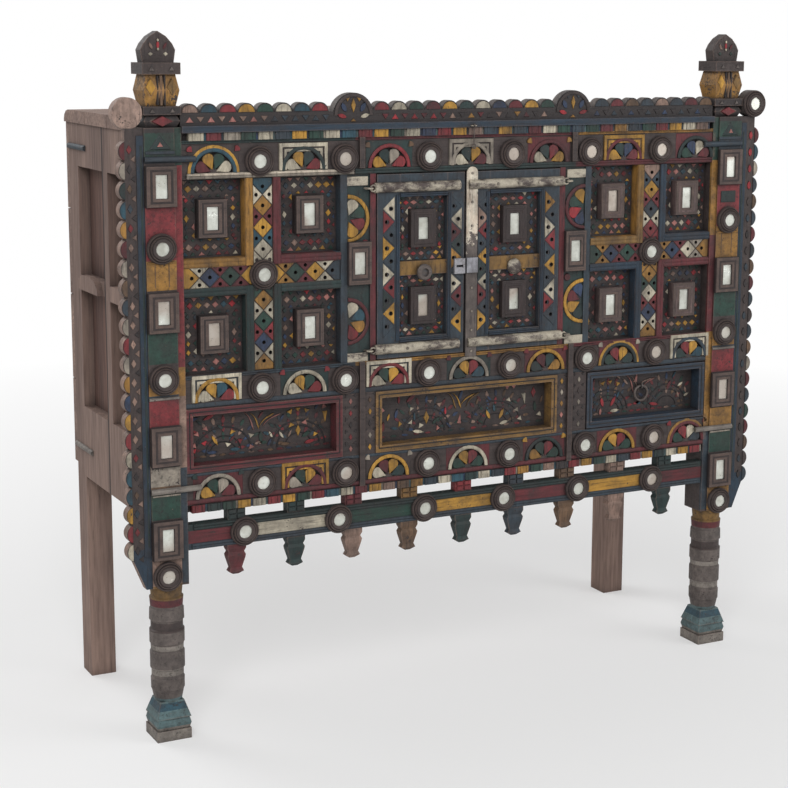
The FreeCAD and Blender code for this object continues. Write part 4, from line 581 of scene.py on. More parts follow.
leafLoop = curve(4, -60, 60, 0.75, 0.58, (-0.375, 0)) + curve(4, 120, 240, 0.75, 0.58, (0.375, 0))
strokeLoop = curve(8, 10, 80, 1.0, 1.0, (-0.5, -0.5)) + curve(8, 78, 12, 0.8, 0.92, (-0.45, -0.45))[1:-1]
shapes = {
    "triangle": plate(triangle, inset=0.07),
    "diamond": plate(diamond, inset=0.07),
    "holedDiamond": plate(diamond, [roundHole(0, 0, 0.1, 0.1)], 0.035),
    "holedSide": plate([(-0.5, -0.5), (0.5, 0), (-0.5, 0.5)], [roundHole(-0.167, 0, 0.2, 0.1)], 0.035),
    "holedEnd": plate([(-0.5, -0.5), (0.5, -0.5), (0.5, -0.132), (0, 0.5), (-0.5, -0.132)],
                      [roundHole(0, 0.03, 0.1, 0.124)], 0.03),
    "disc": plate(curve(12, 0, 360, 0.5, 0.5)[:-1], inset=0.08),
    "petal": plate(petalLoop, inset=0.05),
    "leaf": plate(leafLoop, inset=0.04),
    "stroke": plate(strokeLoop, inset=0.01),
    "halfDisc": plate(curve(10, 0, 180, 0.5, 1.0, (0, -0.5)), inset=0.05),
    "arch": mouldedRing(),
    "halo": mouldedRing(width=0.1),
    "line": mouldedRing(width=0.035),
    "archFrame": plate([(-0.5, -0.5), (-0.42, -0.5), (-0.42, 0.34), (0.42, 0.34), (0.42, -0.5), (0.5, -0.5),
                        (0.5, 0.5), (-0.5, 0.5)], inset=0.012),
    "spandrel": plate([(-0.5, -0.5), (-0.46, -0.5)] + curve(12, 180, 0, 0.46, 0.84, (0, -0.5))[1:-1]
                      + [(0.46, -0.5), (0.5, -0.5), (0.5, 0.5), (-0.5, 0.5)], inset=0.012),
    "reed": bar(reedProfile, "x"),
    "band": bar(bandProfile, "x"),
    "rod": bar(rodProfile, "x"),
    "tooth": bar(toothProfile, "z"),
    "postFrame": steppedFrame(62, 79, 10, frameSteps(9.6, 3)),
    "bayFrame": steppedFrame(60, 76, 20, frameSteps(20.4, 3.2)),
    "jambFrame": steppedFrame(52, 88, 12, frameSteps(12.4, 3)),
    "doorFrame": steppedFrame(58, 78, 15, frameSteps(14.6, 1.3)),
}
shapeOrder = {name: number for number, name in enumerate(shapes)}
patterns = bpy.data.collections.new("carverPatterns")
for number, (name, (points, rims, faces)) in enumerate(shapes.items()):
    mesh = bpy.data.meshes.new(name)
    mesh.from_pydata(points, [], faces)
    # Each point keeps how far up the relief it lies, which sets the painted shade at its foot.
    mesh.attributes.new("rim", "FLOAT", "POINT").data.foreach_set("value", rims)
    mesh.update()
    patterns.objects.link(bpy.data.objects.new("pattern%02d" % number, mesh))


# Sets a pattern at every point, turned, sized and painted as the point says.
def inlayTree():
    tree = bpy.data.node_groups.new("inlay", "GeometryNodeTree")
    for name, kind in (("Geometry", "NodeSocketGeometry"), ("Patterns", "NodeSocketCollection"),
                       ("Wobble", "NodeSocketFloat"), ("Uneven", "NodeSocketFloat"),
                       ("Seed", "NodeSocketInt"), ("Finish", "NodeSocketMaterial")):
        tree.interface.new_socket(name, in_out="INPUT", socket_type=kind)
    tree.interface.new_socket("Geometry", in_out="OUTPUT", socket_type="NodeSocketGeometry")
    given = addNode(tree, "NodeGroupInput").outputs
    pattern = addNode(tree, "GeometryNodeCollectionInfo",
                      {"Collection": given["Patterns"], "Separate Children": True, "Reset Children": True})
    turn, stretch, shape = (
        addNode(tree, "GeometryNodeInputNamedAttribute", {"Name": name}, data_type=kind).outputs["Attribute"]
        for name, kind in (("turn", "FLOAT"), ("stretch", "FLOAT_VECTOR"), ("shape", "INT")))
    chance = addNode(tree, "FunctionNodeRandomValue", {2: -1.0, 3: 1.0, "Seed": given["Seed"]},
                     data_type="FLOAT")
    swing = maths(tree, "MULTIPLY", chance.outputs[1], given["Wobble"])
    angle = maths(tree, "ADD", turn, swing)
    euler = addNode(tree, "ShaderNodeCombineXYZ", {"Y": angle})
    rotation = addNode(tree, "FunctionNodeEulerToRotation", {0: euler.outputs[0]})
    low = maths(tree, "SUBTRACT", 1.0, given["Uneven"])
    lows = addNode(tree, "ShaderNodeCombineXYZ", {"X": low, "Y": 1.0, "Z": low})
    sizes = addNode(tree, "FunctionNodeRandomValue",
                    {0: lows.outputs[0], 1: (1, 1, 1), "Seed": given["Seed"]}, data_type="FLOAT_VECTOR")
    scale = addNode(tree, "ShaderNodeVectorMath", {0: stretch, 1: sizes.outputs[0]}, operation="MULTIPLY")
    placed = addNode(tree, "GeometryNodeInstanceOnPoints",
                     {"Points": given["Geometry"], "Instance": pattern.outputs[0], "Pick Instance": True,
                      "Instance Index": shape, "Rotation": rotation.outputs[0], "Scale": scale.outputs[0]})
    real = addNode(tree, "GeometryNodeRealizeInstances", {"Geometry": placed.outputs[0]})
    finished = addNode(tree, "GeometryNodeSetMaterial",
                       {"Geometry": real.outputs[0], "Material": given["Finish"]})
    addNode(tree, "NodeGroupOutput", {"Geometry": finished.outputs[0]})
    return tree


inlay = inlayTree()
inlaySockets = {item.name: item.identifier for item in inlay.interface.items_tree if item.in_out == "INPUT"}


# Where the patterns of one piece go; they lie on the face that is set last.
class Marks(list):
    def __init__(self, face):
        super().__init__()
        self.face = planes[face]

    def add(self, shape, x, z, wide, high, thick, key, turn=0, lift=0):
        place = (x * mm, (self.face - lift) * mm, z * mm)
        self.append((shape, place, (wide * mm, thick * mm, high * mm), key, math.radians(turn)))

    def addWhole(self, shape, x, z, key):
        self.append((shape, (x * mm, self.face * mm, z * mm), (1, 1, 1), key, 0))

    # A moulding along a rail, from one x to another.
    def addAlong(self, shape, start, end, z, high, thick, key):
        self.add(shape, (start + end) / 2, z, end - start, high, thick, key)


def layInlay(name, body, marks, wobble=0.0, uneven=0.0, seed=1):
    mesh = bpy.data.meshes.new(name + "Points")
    mesh.from_pydata([mark[1] for mark in marks], [], [])
    tones = random.Random(seed)
    painted = []
    for mark in marks:
        tone = tones.uniform(0.72, 1.08)
        painted += [part * tone for part in colour(mark[3])[:3]] + [1]
    attributes = (("shape", "INT", "value", [shapeOrder[mark[0]] for mark in marks]),
                  ("turn", "FLOAT", "value", [mark[4] for mark in marks]),
                  ("stretch", "FLOAT_VECTOR", "vector", [part for mark in marks for part in mark[2]]),
                  ("paint", "FLOAT_COLOR", "color", painted))
    for title, kind, field, values in attributes:
        mesh.attributes.new(title, kind, "POINT").data.foreach_set(field, values)
    carrier = bpy.data.objects.new(name + "Points", mesh)
    scene.collection.objects.link(carrier)
    modifier = carrier.modifiers.new("inlay", "NODES")
    modifier.node_group = inlay
    for title, value in (("Patterns", patterns), ("Wobble", wobble), ("Uneven", uneven), ("Seed", seed),
                         ("Finish", inlayPaint)):
        modifier[inlaySockets[title]] = value
    graph = bpy.context.evaluated_depsgraph_get()
    made = bpy.data.meshes.new_from_object(carrier.evaluated_get(graph), preserve_all_data_layers=True,
                                           depsgraph=graph)
    bpy.data.objects.remove(carrier)
    piece = bpy.data.objects.new(name, made)
    scene.collection.objects.link(piece)
    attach(piece, body)
    print("piece:", name, "faces", len(made.polygons))
    return piece


# The arched rails
print("stage: arches")
archFan = {"ring": 96, "ringDepth": 4, "petalReach": 40, "petalRoot": 5, "petalWide": 25, "thick": 1.6,
           "wide": 106, "high": 54, "halo": 107, "dot": 14, "middle": 10, "pitch": 189.5}
archPaint = {
    # ring, field, frame or halo, dots and four petals from the left
    "frieze": ("teal umber halo-gold red maroon gold green cream",
               "darkGreen umber frame-cream - cream gold darkGreen red",
               "red darkGreen - brown gold darkGreen silver red",
               "silver umber frame-silver - cream darkGreen gold maroon",
               "maroon maroon - ochre cream darkGreen red gold",
               "maroon brown frame-gold - gold darkGreen blue maroon",
               "darkGreen maroon - - green blue cream maroon"),
    "middle": ("gold slate frame-cream - cream gold teal red",
               "cream darkGreen - red cream gold green red",
               "red slate frame-cream - cream green gold red",
               "silver darkGreen - maroon darkGreen gold red teal",
               "gold maroon - red darkGreen maroon darkGreen ochre",
               "darkGreen maroon halo-gold silver green red gold darkGreen",
               "slate umber frame-cream - darkGreen red gold teal"),
    "lower": ("silver maroon - darkGreen gold green silver maroon",
              "maroon umber frame-gold - silver green gold maroon",
              "gold umber - silver cream maroon gold darkGreen",
              "cream maroon - - green gold red green",
              "darkGreen maroon - gold ochre green red green",
              "gold maroon - - green gold red green",
              "maroon umber halo-ochre red green red cream slate"),
}
firstPetal, petalStep = -67.5, 45


# The point so far out from a middle; the angle is in degrees from straight up.
def spoke(x, z, reach, angle):
    return x + reach * math.sin(math.radians(angle)), z + reach * math.cos(math.radians(angle))


def archedRow(marks, rows, baseZ):
    wide, high, thick = archFan["wide"], archFan["high"], archFan["thick"]
    middle = (archFan["petalReach"] + archFan["petalRoot"]) / 2
    long = archFan["petalReach"] - archFan["petalRoot"]
    for number, row in enumerate(rows):
        ring, field, border, dots, *petals = row.split()
        kind, _, key = border.partition("-")
        x = archFan["middle"] + archFan["pitch"] * (number - 3)
        marks.add("spandrel", x, baseZ + high / 2, wide, high, thick / 2, field)
        if kind == "frame":
            marks.add("archFrame", x, baseZ + high / 2, wide, high, 2 * thick, key)
            marks.add("archFrame", x, baseZ + high / 2 - 5, wide - 22, high - 12, 1.4 * thick, key)
        elif kind == "halo":
            marks.add("halo", x, baseZ, archFan["halo"], archFan["halo"], 1.6 * thick, key)
        marks.add("arch", x, baseZ, archFan["ring"], archFan["ring"], archFan["ringDepth"], ring)
        for order, key in enumerate(petals):
            angle = firstPetal + petalStep * order
            marks.add("petal", *spoke(x, baseZ, middle, angle), archFan["petalWide"], long, thick, key,
                      angle)
        if dots != "-":
            for side in (-1, 1):
                marks.add("petal", x + side * (wide / 2 - 5), baseZ + high - 9, archFan["dot"],
                          archFan["dot"], 2.2, dots, 45 * side, 0.8)


friezeMarks, middleMarks, lowerMarks = Marks("rail"), Marks("rail"), Marks("rail")
archedRow(friezeMarks, archPaint["frieze"], 1137.5)
archedRow(middleMarks, archPaint["middle"], 687)
archedRow(lowerMarks, archPaint["lower"], 492)
for start, end, key in ((-256, 266, "darkGreen"), (266, 624, "maroon")):
    friezeMarks.addAlong("reed", start, end, 1131.5, 11, 2.4, key)
# The rod is laid twice, a lime copy over a silver one: a painted highlight along its top over its pale
# paint.
for height, key in ((1134, "lime"), (1129, "silver")):
    friezeMarks.addAlong("rod", -612, -262, height, 6.5, 5, key)
    for x in (-612, -262):
        friezeMarks.add("disc", x, height, 6.5, 6.5, 4.8, "silver")
for start, end, key, lowKey in ((-624, -256, "darkGreen", "slate"), (-256, 266, "maroon", "ochre"),
                                (266, 624, "ochre", "maroon")):
    friezeMarks.addAlong("reed", start, end, 1197, 7, 2.4, key)
    middleMarks.addAlong("reed", start, end, 737.5, 8, 2.4, lowKey)
    middleMarks.addAlong("rod", start, end, 681, 10, 2.2, "slate")
lowerMarks.add("rod", 0, 542, bayWidth, 7, 2.2, "slate")
lowerMarks.add("rod", 0, 486, bayWidth, 10, 2.6, "maroon")
layInlay("frieze_inlay", "chest", friezeMarks)
layInlay("middle_inlay", "chest", middleMarks)
layInlay("lower_inlay", "chest", lowerMarks)

# Dentils, one painted block after another
print("stage: dentils")
dentilPaint = {
    "upper": ("cream maroon silver green cream slate gold green cream teal red gold green cream blue red "
              "gold bare slate gold slate maroon cream green slate green maroon ochre slate green red gold "
              "cream bare"),
    "lower": ("red darkGreen green gold cream red gold green red teal cream maroon gold bare brown ochre "
              "slate cream teal darkGreen cream slate red ochre green bare dark red gold green cream slate "
              "red gold darkGreen cream gold red"),
}
dentilSize = {"high": 15.4, "deep": 14.4, "gap": 5, "fillWide": 5.4, "fillHigh": 15, "fillDeep": 12}
fillKeys = ("teal", "slate", "silver", "blue", "greyTeal")
for row, pitch, middleZ in (("upper", 36, 1207.25), ("lower", 32.5, 472.25)):
    marks = Marks("tooth")
    keys = dentilPaint[row].split()
    for number, key in enumerate(keys):
        x = pitch * (number - (len(keys) - 1) / 2)
        marks.add("tooth", x, middleZ, pitch - dentilSize["gap"], dentilSize["high"], dentilSize["deep"],
                  key)
        marks.add("tooth", x + pitch / 2, middleZ, dentilSize["fillWide"], dentilSize["fillHigh"],
                  dentilSize["fillDeep"], fillKeys[number % len(fillKeys)])
    piece = layInlay(row + "_dentil_row", "chest", marks)
    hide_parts(row + "_dentils")

# Lattices
print("stage: lattices")
latticeSize = {"across": 42, "pitch": 43, "firstPair": 34, "thick": 1.4, "endMiddle": 17, "endHigh": 33,
               "armHigh": 172, "overlap": 22}
latticePaint = {
    "left": {
        "top": "teal cream, ochre maroon, gold teal, cream cream",
        "left": "gold cream, blue maroon, green maroon, gold cream",
        "right": "slate cream, gold maroon, green ochre, gold ochre",
        "low": "ochre cream, blue red, green cream, ochre green",
    },
    "right": {
        "top": "bare slate, gold red, slate cream, red red",
        "left": "green ochre, blue maroon, green maroon, gold ochre",
        "right": "ochre silver, cream maroon, blue ochre, gold ochre",
        "low": "ochre cream, blue red, cream green, ochre ochre",
    },
}


# rows are the middle tile and the side pair, from the outer end towards the crossing.
def latticeArm(marks, outerX, outerZ, stepX, stepZ, length, rows):
    turn = math.degrees(math.atan2(stepX, stepZ))
    wide, pitch, thick = latticeSize["across"], latticeSize["pitch"], latticeSize["thick"]
    half = wide / 2
    for number, row in enumerate(rows.split(", ")):
        middle, pair = row.split()
        vertex = latticeSize["firstPair"] + pitch * number
        centre = vertex - pitch / 2
        if number == 0:
            end = latticeSize["endMiddle"]
            marks.add("holedEnd", outerX + stepX * end, outerZ + stepZ * end, wide - 1,
                      latticeSize["endHigh"], thick, middle, turn)
        elif centre < length:
            marks.add("holedDiamond", outerX + stepX * centre, outerZ + stepZ * centre, wide - 1.6,
                      pitch - 1.6, thick, middle, turn)
        if vertex + half < length + latticeSize["overlap"]:
            for side in (-1, 1):
                marks.add("holedSide", outerX + stepX * vertex + side * half / 2 * stepZ,
                          outerZ + stepZ * vertex - side * half / 2 * stepX, half - 1, pitch - 2, thick,
                          pair, turn + (180 if side > 0 else 0))


bayTop, bayLow = 1125.5, 741.5
crossHalf = 21
latticeMarks = Marks("jamb")
for side, crossX, leftEnd, rightEnd in (("left", -456, -624, -288), ("right", 466, 308, 624)):
    arms, armHigh = latticePaint[side], latticeSize["armHigh"]
    latticeArm(latticeMarks, crossX, bayTop, 0, -1, armHigh, arms["top"])
    latticeArm(latticeMarks, crossX, bayLow, 0, 1, armHigh, arms["low"])
    latticeArm(latticeMarks, leftEnd, bayMiddle, 1, 0, crossX - crossHalf - leftEnd, arms["left"])
    latticeArm(latticeMarks, rightEnd, bayMiddle, -1, 0, rightEnd - crossX - crossHalf, arms["right"])
layInlay("lattice_inlay", "chest", latticeMarks)

# Chip carved panels
print("stage: chip carving")
chipSize = {"step": 19, "thick": 1.5, "triangleWide": 16, "triangleHigh": 9.5, "diamondWide": 17,
            "diamondHigh": 16, "smallWide": 12, "footRow": 0.14, "diamondRow": 0.46, "innerRow": 0.82}
# Width and height of the mirrors' blocks, and the share of bright paint
bayBlock, doorBlock = (58, 74), (56, 76)
brightShare = {"leftBay": 0.6, "rightBay": 0.85, "door": 0.75}
brightKeys = "scarlet gold teal green pink cream red gold blue green pink bare".split()
quietKeys = ("darkGreen", "green", "slate", "maroon", "teal", "blue")


# Rows of triangles and diamonds round a mirror's block; bright is the share of bright paint, and the rows
# lie at shares of the room above and below the block.
def chipPanel(marks, left, right, low, high, block, bright, seed):
    pick = random.Random(seed)
    thick, small = chipSize["thick"], chipSize["smallWide"]
    middleZ = (low + high) / 2
    room = (high - low - block[1]) / 2
    sideRoom = (right - left - block[0]) / 2
    columns = round((right - left) / chipSize["step"])
    step = (right - left) / columns

    def key(share=1.0):
        return pick.choice(brightKeys if pick.random() < bright * share else quietKeys)

    for edge, sign in ((high, -1), (low, 1)):
        for i in range(columns):
            x = left + step * (i + 0.5)
            marks.add("triangle", x, edge + sign * chipSize["footRow"] * room, chipSize["triangleWide"],
                      chipSize["triangleHigh"], thick, key(), 180 if sign < 0 else 0)
            marks.add("triangle", x, edge + sign * chipSize["innerRow"] * room, small, 6.5, thick, key(0.8),
                      0 if sign < 0 else 180)
        for i in range(columns + 1):
            x = left + step * i
            z = edge + sign * chipSize["diamondRow"] * room
            if i in (0, columns):
                x += 5 if i == 0 else -5
                marks.add("triangle", x, z, small, 8, thick, key(), 90 if i == 0 else -90)
            else:
                marks.add("diamond", x, z, chipSize["diamondWide"],
                          min(chipSize["diamondHigh"], 0.42 * room), thick, key(1.3))
    for sign, outer in ((1, left), (-1, right)):
        inner = outer + sign * sideRoom
        marks.add("diamond", outer + sign * sideRoom * 0.42, middleZ, 0.42 * sideRoom, 17, thick,
                  pick.choice(("cream", "gold", "bare", "blue")))
        for offset, share in ((-17, 1.2), (17, 1.2), (-34, 0.5), (34, 0.5)):
            marks.add("triangle", inner - sign * 6, middleZ + offset, 15, 8, thick, key(share), -90 * sign)
            marks.add("diamond", outer + sign * sideRoom * 0.4, middleZ + offset * 1.05, 0.34 * sideRoom, 13,
                      thick, key(0.5))
        for offset in (-25, -8.5, 8.5, 25):
            marks.add("triangle", outer + sign * 3.5, middleZ + offset, small, 6, thick, key(0.5), 90 * sign)


bayMarks, bayBorders = Marks("bayPanel"), Marks("bayPanel")
for number, (left, right) in enumerate(((-624, -494), (-418, -288), (308, 428), (504, 624))):
    bay, frameKey = ("leftBay", "frame") if number < 2 else ("rightBay", "rosewood")
    for level, (low, high) in enumerate(((bayLow, 896.5), (970.5, bayTop))):
        chipPanel(bayMarks, left + 3, right - 3, low + 3, high - 3, bayBlock, brightShare[bay],
                  20 + number * 2 + level)
        bayBorders.addWhole("bayFrame", (left + right) / 2, (low + high) / 2, frameKey)
bayBorders.face = planes["rail"]
bayReed = {"high": 15, "thick": 2.2, "inset": 8.5, "corner": 8}
bayReedPaint = {"left": (("ochre", "maroon"), ("darkGreen", "darkGreen")),
                "right": (("oldGold", "deepBlue"), ("deepBlue", "maroon"))}
for side, stemLeft, stemRight, outLeft, outRight in (("left", -477, -435, -624, -288),
                                                     ("right", 445, 487, 308, 624)):
    for level, (bandZ, farZ) in enumerate(((953.5, bayTop), (913.5, bayLow))):
        up = 1 if farZ > bandZ else -1
        for column, (stem, far) in enumerate(((stemLeft, outLeft), (stemRight, outRight))):
            key = bayReedPaint[side][level][column]
            way = 1 if far > stem else -1
            high, thick, inset, corner = bayReed.values()
            bayBorders.add("reed", stem + way * inset, (bandZ + farZ) / 2, abs(farZ - bandZ), high, thick,
                           key, 90)
            bayBorders.add("reed", (stem + far) / 2 + way * corner, bandZ + up * inset,
                           abs(far - stem) - 2 * corner, high, thick, key)
layInlay("bay_carving", "chest", bayMarks, wobble=0.12, uneven=0.2, seed=3)
layInlay("bay_borders", "chest", bayBorders, seed=4)

for side, left, right, blockX, seed in (("left", -155, -45, -100, 40), ("right", 56, 180, 118, 50)):
    marks, borders = Marks("doorPanel"), Marks("doorPanel")
    for level, (low, high, blockZ) in enumerate(((785.5, 913.1, 849.3), (942.1, 1077.5, 1009.8))):
        chipPanel(marks, left + 2, right - 2, low + 2, high - 2, doorBlock, brightShare["door"],
                  seed + level)
        borders.addWhole("doorFrame", blockX, blockZ, "frame")
    borders.face = planes["door"]
    for x in (left - 5, right + 5):
        borders.add("reed", x, 929.5, 302, 8, 2.4, "deepBlue", 90)
    for z in (779, 1080):
        borders.addAlong("reed", left, right, z, 8, 2.4, "deepBlue")
    layInlay(side + "_door_carving", side + "_door", marks, wobble=0.12, uneven=0.2, seed=5)
    layInlay(side + "_door_blocks", side + "_door", borders, seed=6)

# Door stiles
print("stage: door stiles")
stileSize = {"wide": 27, "high": 50, "pitch": 27, "thick": 1.2, "middle": 931.5}
# x of the middle, whether the lowest tile points right, and its paints from the top
stiles = {
    "left": ((-181, True, "cream red slate gold slate cream red darkGreen gold slate"),
             (-25, False, "slate cream maroon darkGreen ochre slate cream maroon slate gold")),
    "right": ((40.5, True, "slate bare red slate gold darkGreen cream red slate gold"),
              (203.5, False, "ochre slate cream red slate gold slate cream red slate")),
}
for side, pair in stiles.items():
    marks = Marks("door")
    for middleX, startsRight, keys in pair:
        for index, key in enumerate(reversed(keys.split())):
            toRight = (index % 2 == 0) == startsRight
            z = stileSize["middle"] + stileSize["pitch"] * (index - 4.5)
            marks.add("holedSide", middleX, z, stileSize["wide"], stileSize["high"], stileSize["thick"], key,
                      0 if toRight else 180)
    layInlay(side + "_door_tiles", side + "_door", marks, uneven=0.05, seed=2)

# Mirror frames on the posts and jambs
print("stage: mirror frames")
frameMarks = Marks("post")
for x in (-postX, postX):
    for z in (1114.7, 871.2, 607, 417.8):
        frameMarks.addWhole("postFrame", x, z, "frame")
frameMarks.face = planes["jamb"]
for x in (-247.5, 267.5):
    frameMarks.addWhole("jambFrame", x, 945, "frame")
layInlay("mirror_mouldings", "chest", frameMarks)

# Half rosettes on the jambs
print("stage: jamb rosettes")
jambFan = {"ring": 98, "ringDepth": 4, "reach": 24, "petalWide": 28, "petalHigh": 36, "petalThick": 2,
           "dot": 17}
jambFans = (
    # x of the flat side, z, which way it bulges, ring and petals from the top, dot
    (-272, 1036, 1, "gold cream green red gold", (-232, 984, "red")),
    (-272, 826, 1, "maroon cream teal ochre red", None),
    (292, 1039, -1, "maroon gold green scarlet blue", None),
    (292, 834, -1, "gold blue maroon gold darkGreen", (252, 888, "maroon")),
)
jambMarks = Marks("jamb")
for flatX, middleZ, way, keys, dot in jambFans:
    ring, *petals = keys.split()
    jambMarks.add("arch", flatX, middleZ, jambFan["ring"], jambFan["ring"], jambFan["ringDepth"], ring,
                  90 * way)
    for order, key in enumerate(petals):
        angle = way * (firstPetal + petalStep * order + 90)
        jambMarks.add("petal", *spoke(flatX, middleZ, jambFan["reach"], angle), jambFan["petalWide"],
                      jambFan["petalHigh"], jambFan["petalThick"], key, angle)
    if dot:
        jambMarks.add("disc", dot[0], dot[1], jambFan["dot"], jambFan["dot"], 3, dot[2])
layInlay("jamb_rosettes", "chest", jambMarks, seed=11)

# Chips down the uprights, mouldings of the bottom rail, chips of the posts and finials
print("stage: posts and rails")
uprightChips = {"low": 560, "pitch": 25}
marks = Marks("rail")
for x, keys in ((-266.5, "pink scarlet dark red pink"), (-222.5, "gold silver dark gold brown"),
                (242.5, "gold pink ochre silver gold"), (286.5, "silver dark silver umber silver")):
    for number, key in enumerate(keys.split()):
        z = uprightChips["low"] + uprightChips["pitch"] * number
        marks.add("diamond", x, z, 9, 15, 1.4, key)
        for side in (-1, 1):
            marks.add("triangle", x + side * 9, z + 12, 9, 7, 1.2, "dark", -90 * side)
for z, key in ((434.5, "darkGreen"), (395.5, "slate")):
    marks.add("reed", 0, z, bayWidth, 11.5, 3, key)
for number, key in enumerate(spacerPaint):
    for side in (-1, 1):
        for z in (447.3, 458.2):
            marks.add("band", pendantPitch * (number - 4) + side * 9, z, 15, 9, 2.4, key)
marks.face = planes["post"]
for x in (-postX, postX):
    marks.add("triangle", x, 1199, 46, 30, 2.2, "darkGreen")
    marks.add("triangle", x, 1195, 13, 10, 1.4, "pink", 0, 2)
    marks.add("band", x, 1179, 60, 6, 2, "slate")
    for z, key in ((968, "ochre"), (840, "green"), (1077, "dark"), (646, "dark"), (566, "dark"),
                   (508, "silver")):
        marks.add("band", x, z, 58, 3.5, 1.8, key)
    for offset in (-14, 14):
        marks.add("rod", x + offset, 943, 46, 2, 0.6, "brown", 90)
for middle in (-662, 662):
    left = middle < 0
    marks.face = planes["finial"]
    marks.add("leaf", middle, 1381, 8, 17, 1.6, "scarlet")
    for z in (1373, 1390):
        marks.add("diamond", middle, z, 6, 7, 1.6, "cream", 0, 1)
    for side in (-1, 1):
        marks.face = planes["finial"]
        marks.add("leaf", middle + side * 14, 1379, 8, 15, 1.4, "bare" if side < 0 else "maroon", 28 * side)
        marks.add("diamond", middle + side * 15, 1364, 11, 9, 1.4, "cream" if left else "green")
        marks.face = planes["cap"]
        for z, high in ((1337, 9), (1258, 8)):
            marks.add("triangle", middle + side * 20, z, 12, high, 1.2, "greyWood")
        marks.face = planes["crest"]
        marks.add("diamond", middle + side * 21, 1302, 24, 36, 5, "gold" if side < 0 else "oldGold", 0, 2)
        marks.add("rod", middle + side * 7, 1296, 56, 5, 6, "dark", 90)
    marks.add("rod", middle, 1296, 56, 8, 6, "brown", 90)
    marks.add("diamond", middle, 1238, 50, 23, 7, "red", 0, 1.5)
marks.face = planes["post"]
marks.add("band", postX, 1048, 40, 26, 1.6, "darkGreen")
layInlay("post_and_rail_carving", "chest", marks, uneven=0.04, seed=12)

# Nails of the irons on the doors
print("stage: nails")
for side, xs in (("left", (-195, -142, -90, -37)), ("right", (22, 70, 120, 170, 215))):
    marks = Marks("bar")
    for z in (1096.5, 763.5):
        for x in xs:
            marks.add("disc", x, z, 7, 7, 2.4, "silver")
    if side == "right":
        marks.face = planes["strap"]
        for z in (1120, 1060, 1010, 970, 880, 830, 790, 745):
            marks.add("disc", 12, z, 6, 6, 2, "silver")
    layInlay(side + "_door_nails", side + "_door", marks, seed=13)

# Crest
print("stage: crest")
crestRuns = (
    # x of the first scallop, and the paint of each
    (-604.5, "bare teal red gold green cream teal red"),
    (-195, "red cream green maroon gold darkGreen cream blue maroon gold green"),
    (331.5, "slate maroon brown slate bare slate maroon brown"),
)
crestSize = {"scallopPitch": 39, "firstTooth": -605, "toothPitch": 22, "teeth": 56, "rosette": 258.5,
             "rosetteRoom": 50}
# Where each stretch of teeth ends, and its paints in turn
teethPaint = ((-430, "pink bare"), (-210, "slate"), (-40, "scarlet maroon"),
              (210, "dark bare dark ochre maroon"), (700, "slate dark blue dark"))
crestMarks = Marks("crest")
for start, keys in crestRuns:
    for number, key in enumerate(keys.split()):
        crestMarks.add("halfDisc", start + crestSize["scallopPitch"] * number, 1260.5, 35, 16, 1.6, key)
for number in range(crestSize["teeth"]):
    x = crestSize["firstTooth"] + crestSize["toothPitch"] * number
    if abs(abs(x) - crestSize["rosette"]) > crestSize["rosetteRoom"]:
        keys = next(keys for end, keys in teethPaint if x < end).split()
        crestMarks.add("triangle", x, 1239.5, 17, 12, 1.4, keys[number % len(keys)], 180 * (number % 2))
for x in (-crestSize["rosette"], crestSize["rosette"]):
    left = x < 0
    crestMarks.add("arch", x, 1243, 88, 88, 2.6, "umber")
    crestMarks.add("diamond", x, 1263, 11, 32, 2, "gold")
    crestMarks.add("triangle", x, 1234, 14, 7, 1.6, "ochre")
    for side in (-1, 1):
        low = "scarlet" if side < 0 else "cream" if left else "red"
        crestMarks.add("triangle", x + side * 13, 1275, 14, 11, 1.6, "gold" if left else "slate", 180)
        crestMarks.add("leaf", x + side * 21, 1259, 15, 22, 1.8, "blue", 28 * side)
        crestMarks.add("leaf", x + side * 25, 1242, 13, 21, 1.8, low, 75 * side)
layInlay("crest_inlay", "chest", crestMarks, uneven=0.06, seed=7)

# Wings
print("stage: wings")
wingPaint = {
    -1: ("maroon silver darkGreen teal ochre maroon silver brown slate silver red silver ochre blue gold "
         "red cream teal teal gold red cream"),
    1: ("maroon teal silver slate brown slate maroon slate brown maroon slate umber slate brown silver "
        "maroon slate green maroon brown umber slate"),
}
wingSize = {"top": 1182.9, "pitch": 37.3, "edge": 743.5, "wide": 35, "high": 12, "strip": 840}
for sign, side in ((-1, "left"), (1, "right")):
    marks = Marks("wing")
    marks.add("band", sign * 708, 800, wingSize["strip"], 15, 2, "deepBlue", 90)
    marks.add("rod", sign * 706, 800, wingSize["strip"], 5, 2, "darkGreen", 90, 1)
    for number, key in enumerate(wingPaint[sign].split()):
        z = wingSize["top"] - wingSize["pitch"] * number
        marks.add("halfDisc", sign * wingSize["edge"], z, wingSize["wide"], wingSize["high"], 1.8, key,
                  90 * sign)
        if side == "left":
            chip = "bare" if 4 < number < 16 else ("red", "dark", "brown", "slate")[number % 4]
            marks.add("diamond", sign * 729, z + 3, 12, 20, 1.4, chip)
            marks.add("triangle", sign * 722, z - 15, 15, 10, 1.4, "dark" if number % 2 else "bare", -90)
        else:
            chip = "scarlet" if number < 4 else ("dark", "umber", "slate")[number % 3]
            marks.add("leaf", sign * 727, z, 14, 20, 1.6, chip)
    layInlay(side + "_wing_inlay", "chest", marks, uneven=0.08, seed=9)

# Carved leaves, darts and chips of the three long panels, seen from the front.
# Every chip is a shape, its paint, its turn, and its places as shares of the panel from the low left corner.
print("stage: row panels")
chipShapes = {"triangle": (16, 11), "leaf": (12, 27), "small": (8, 19), "dart": (13, 28),
              "diamond": (15, 31)}
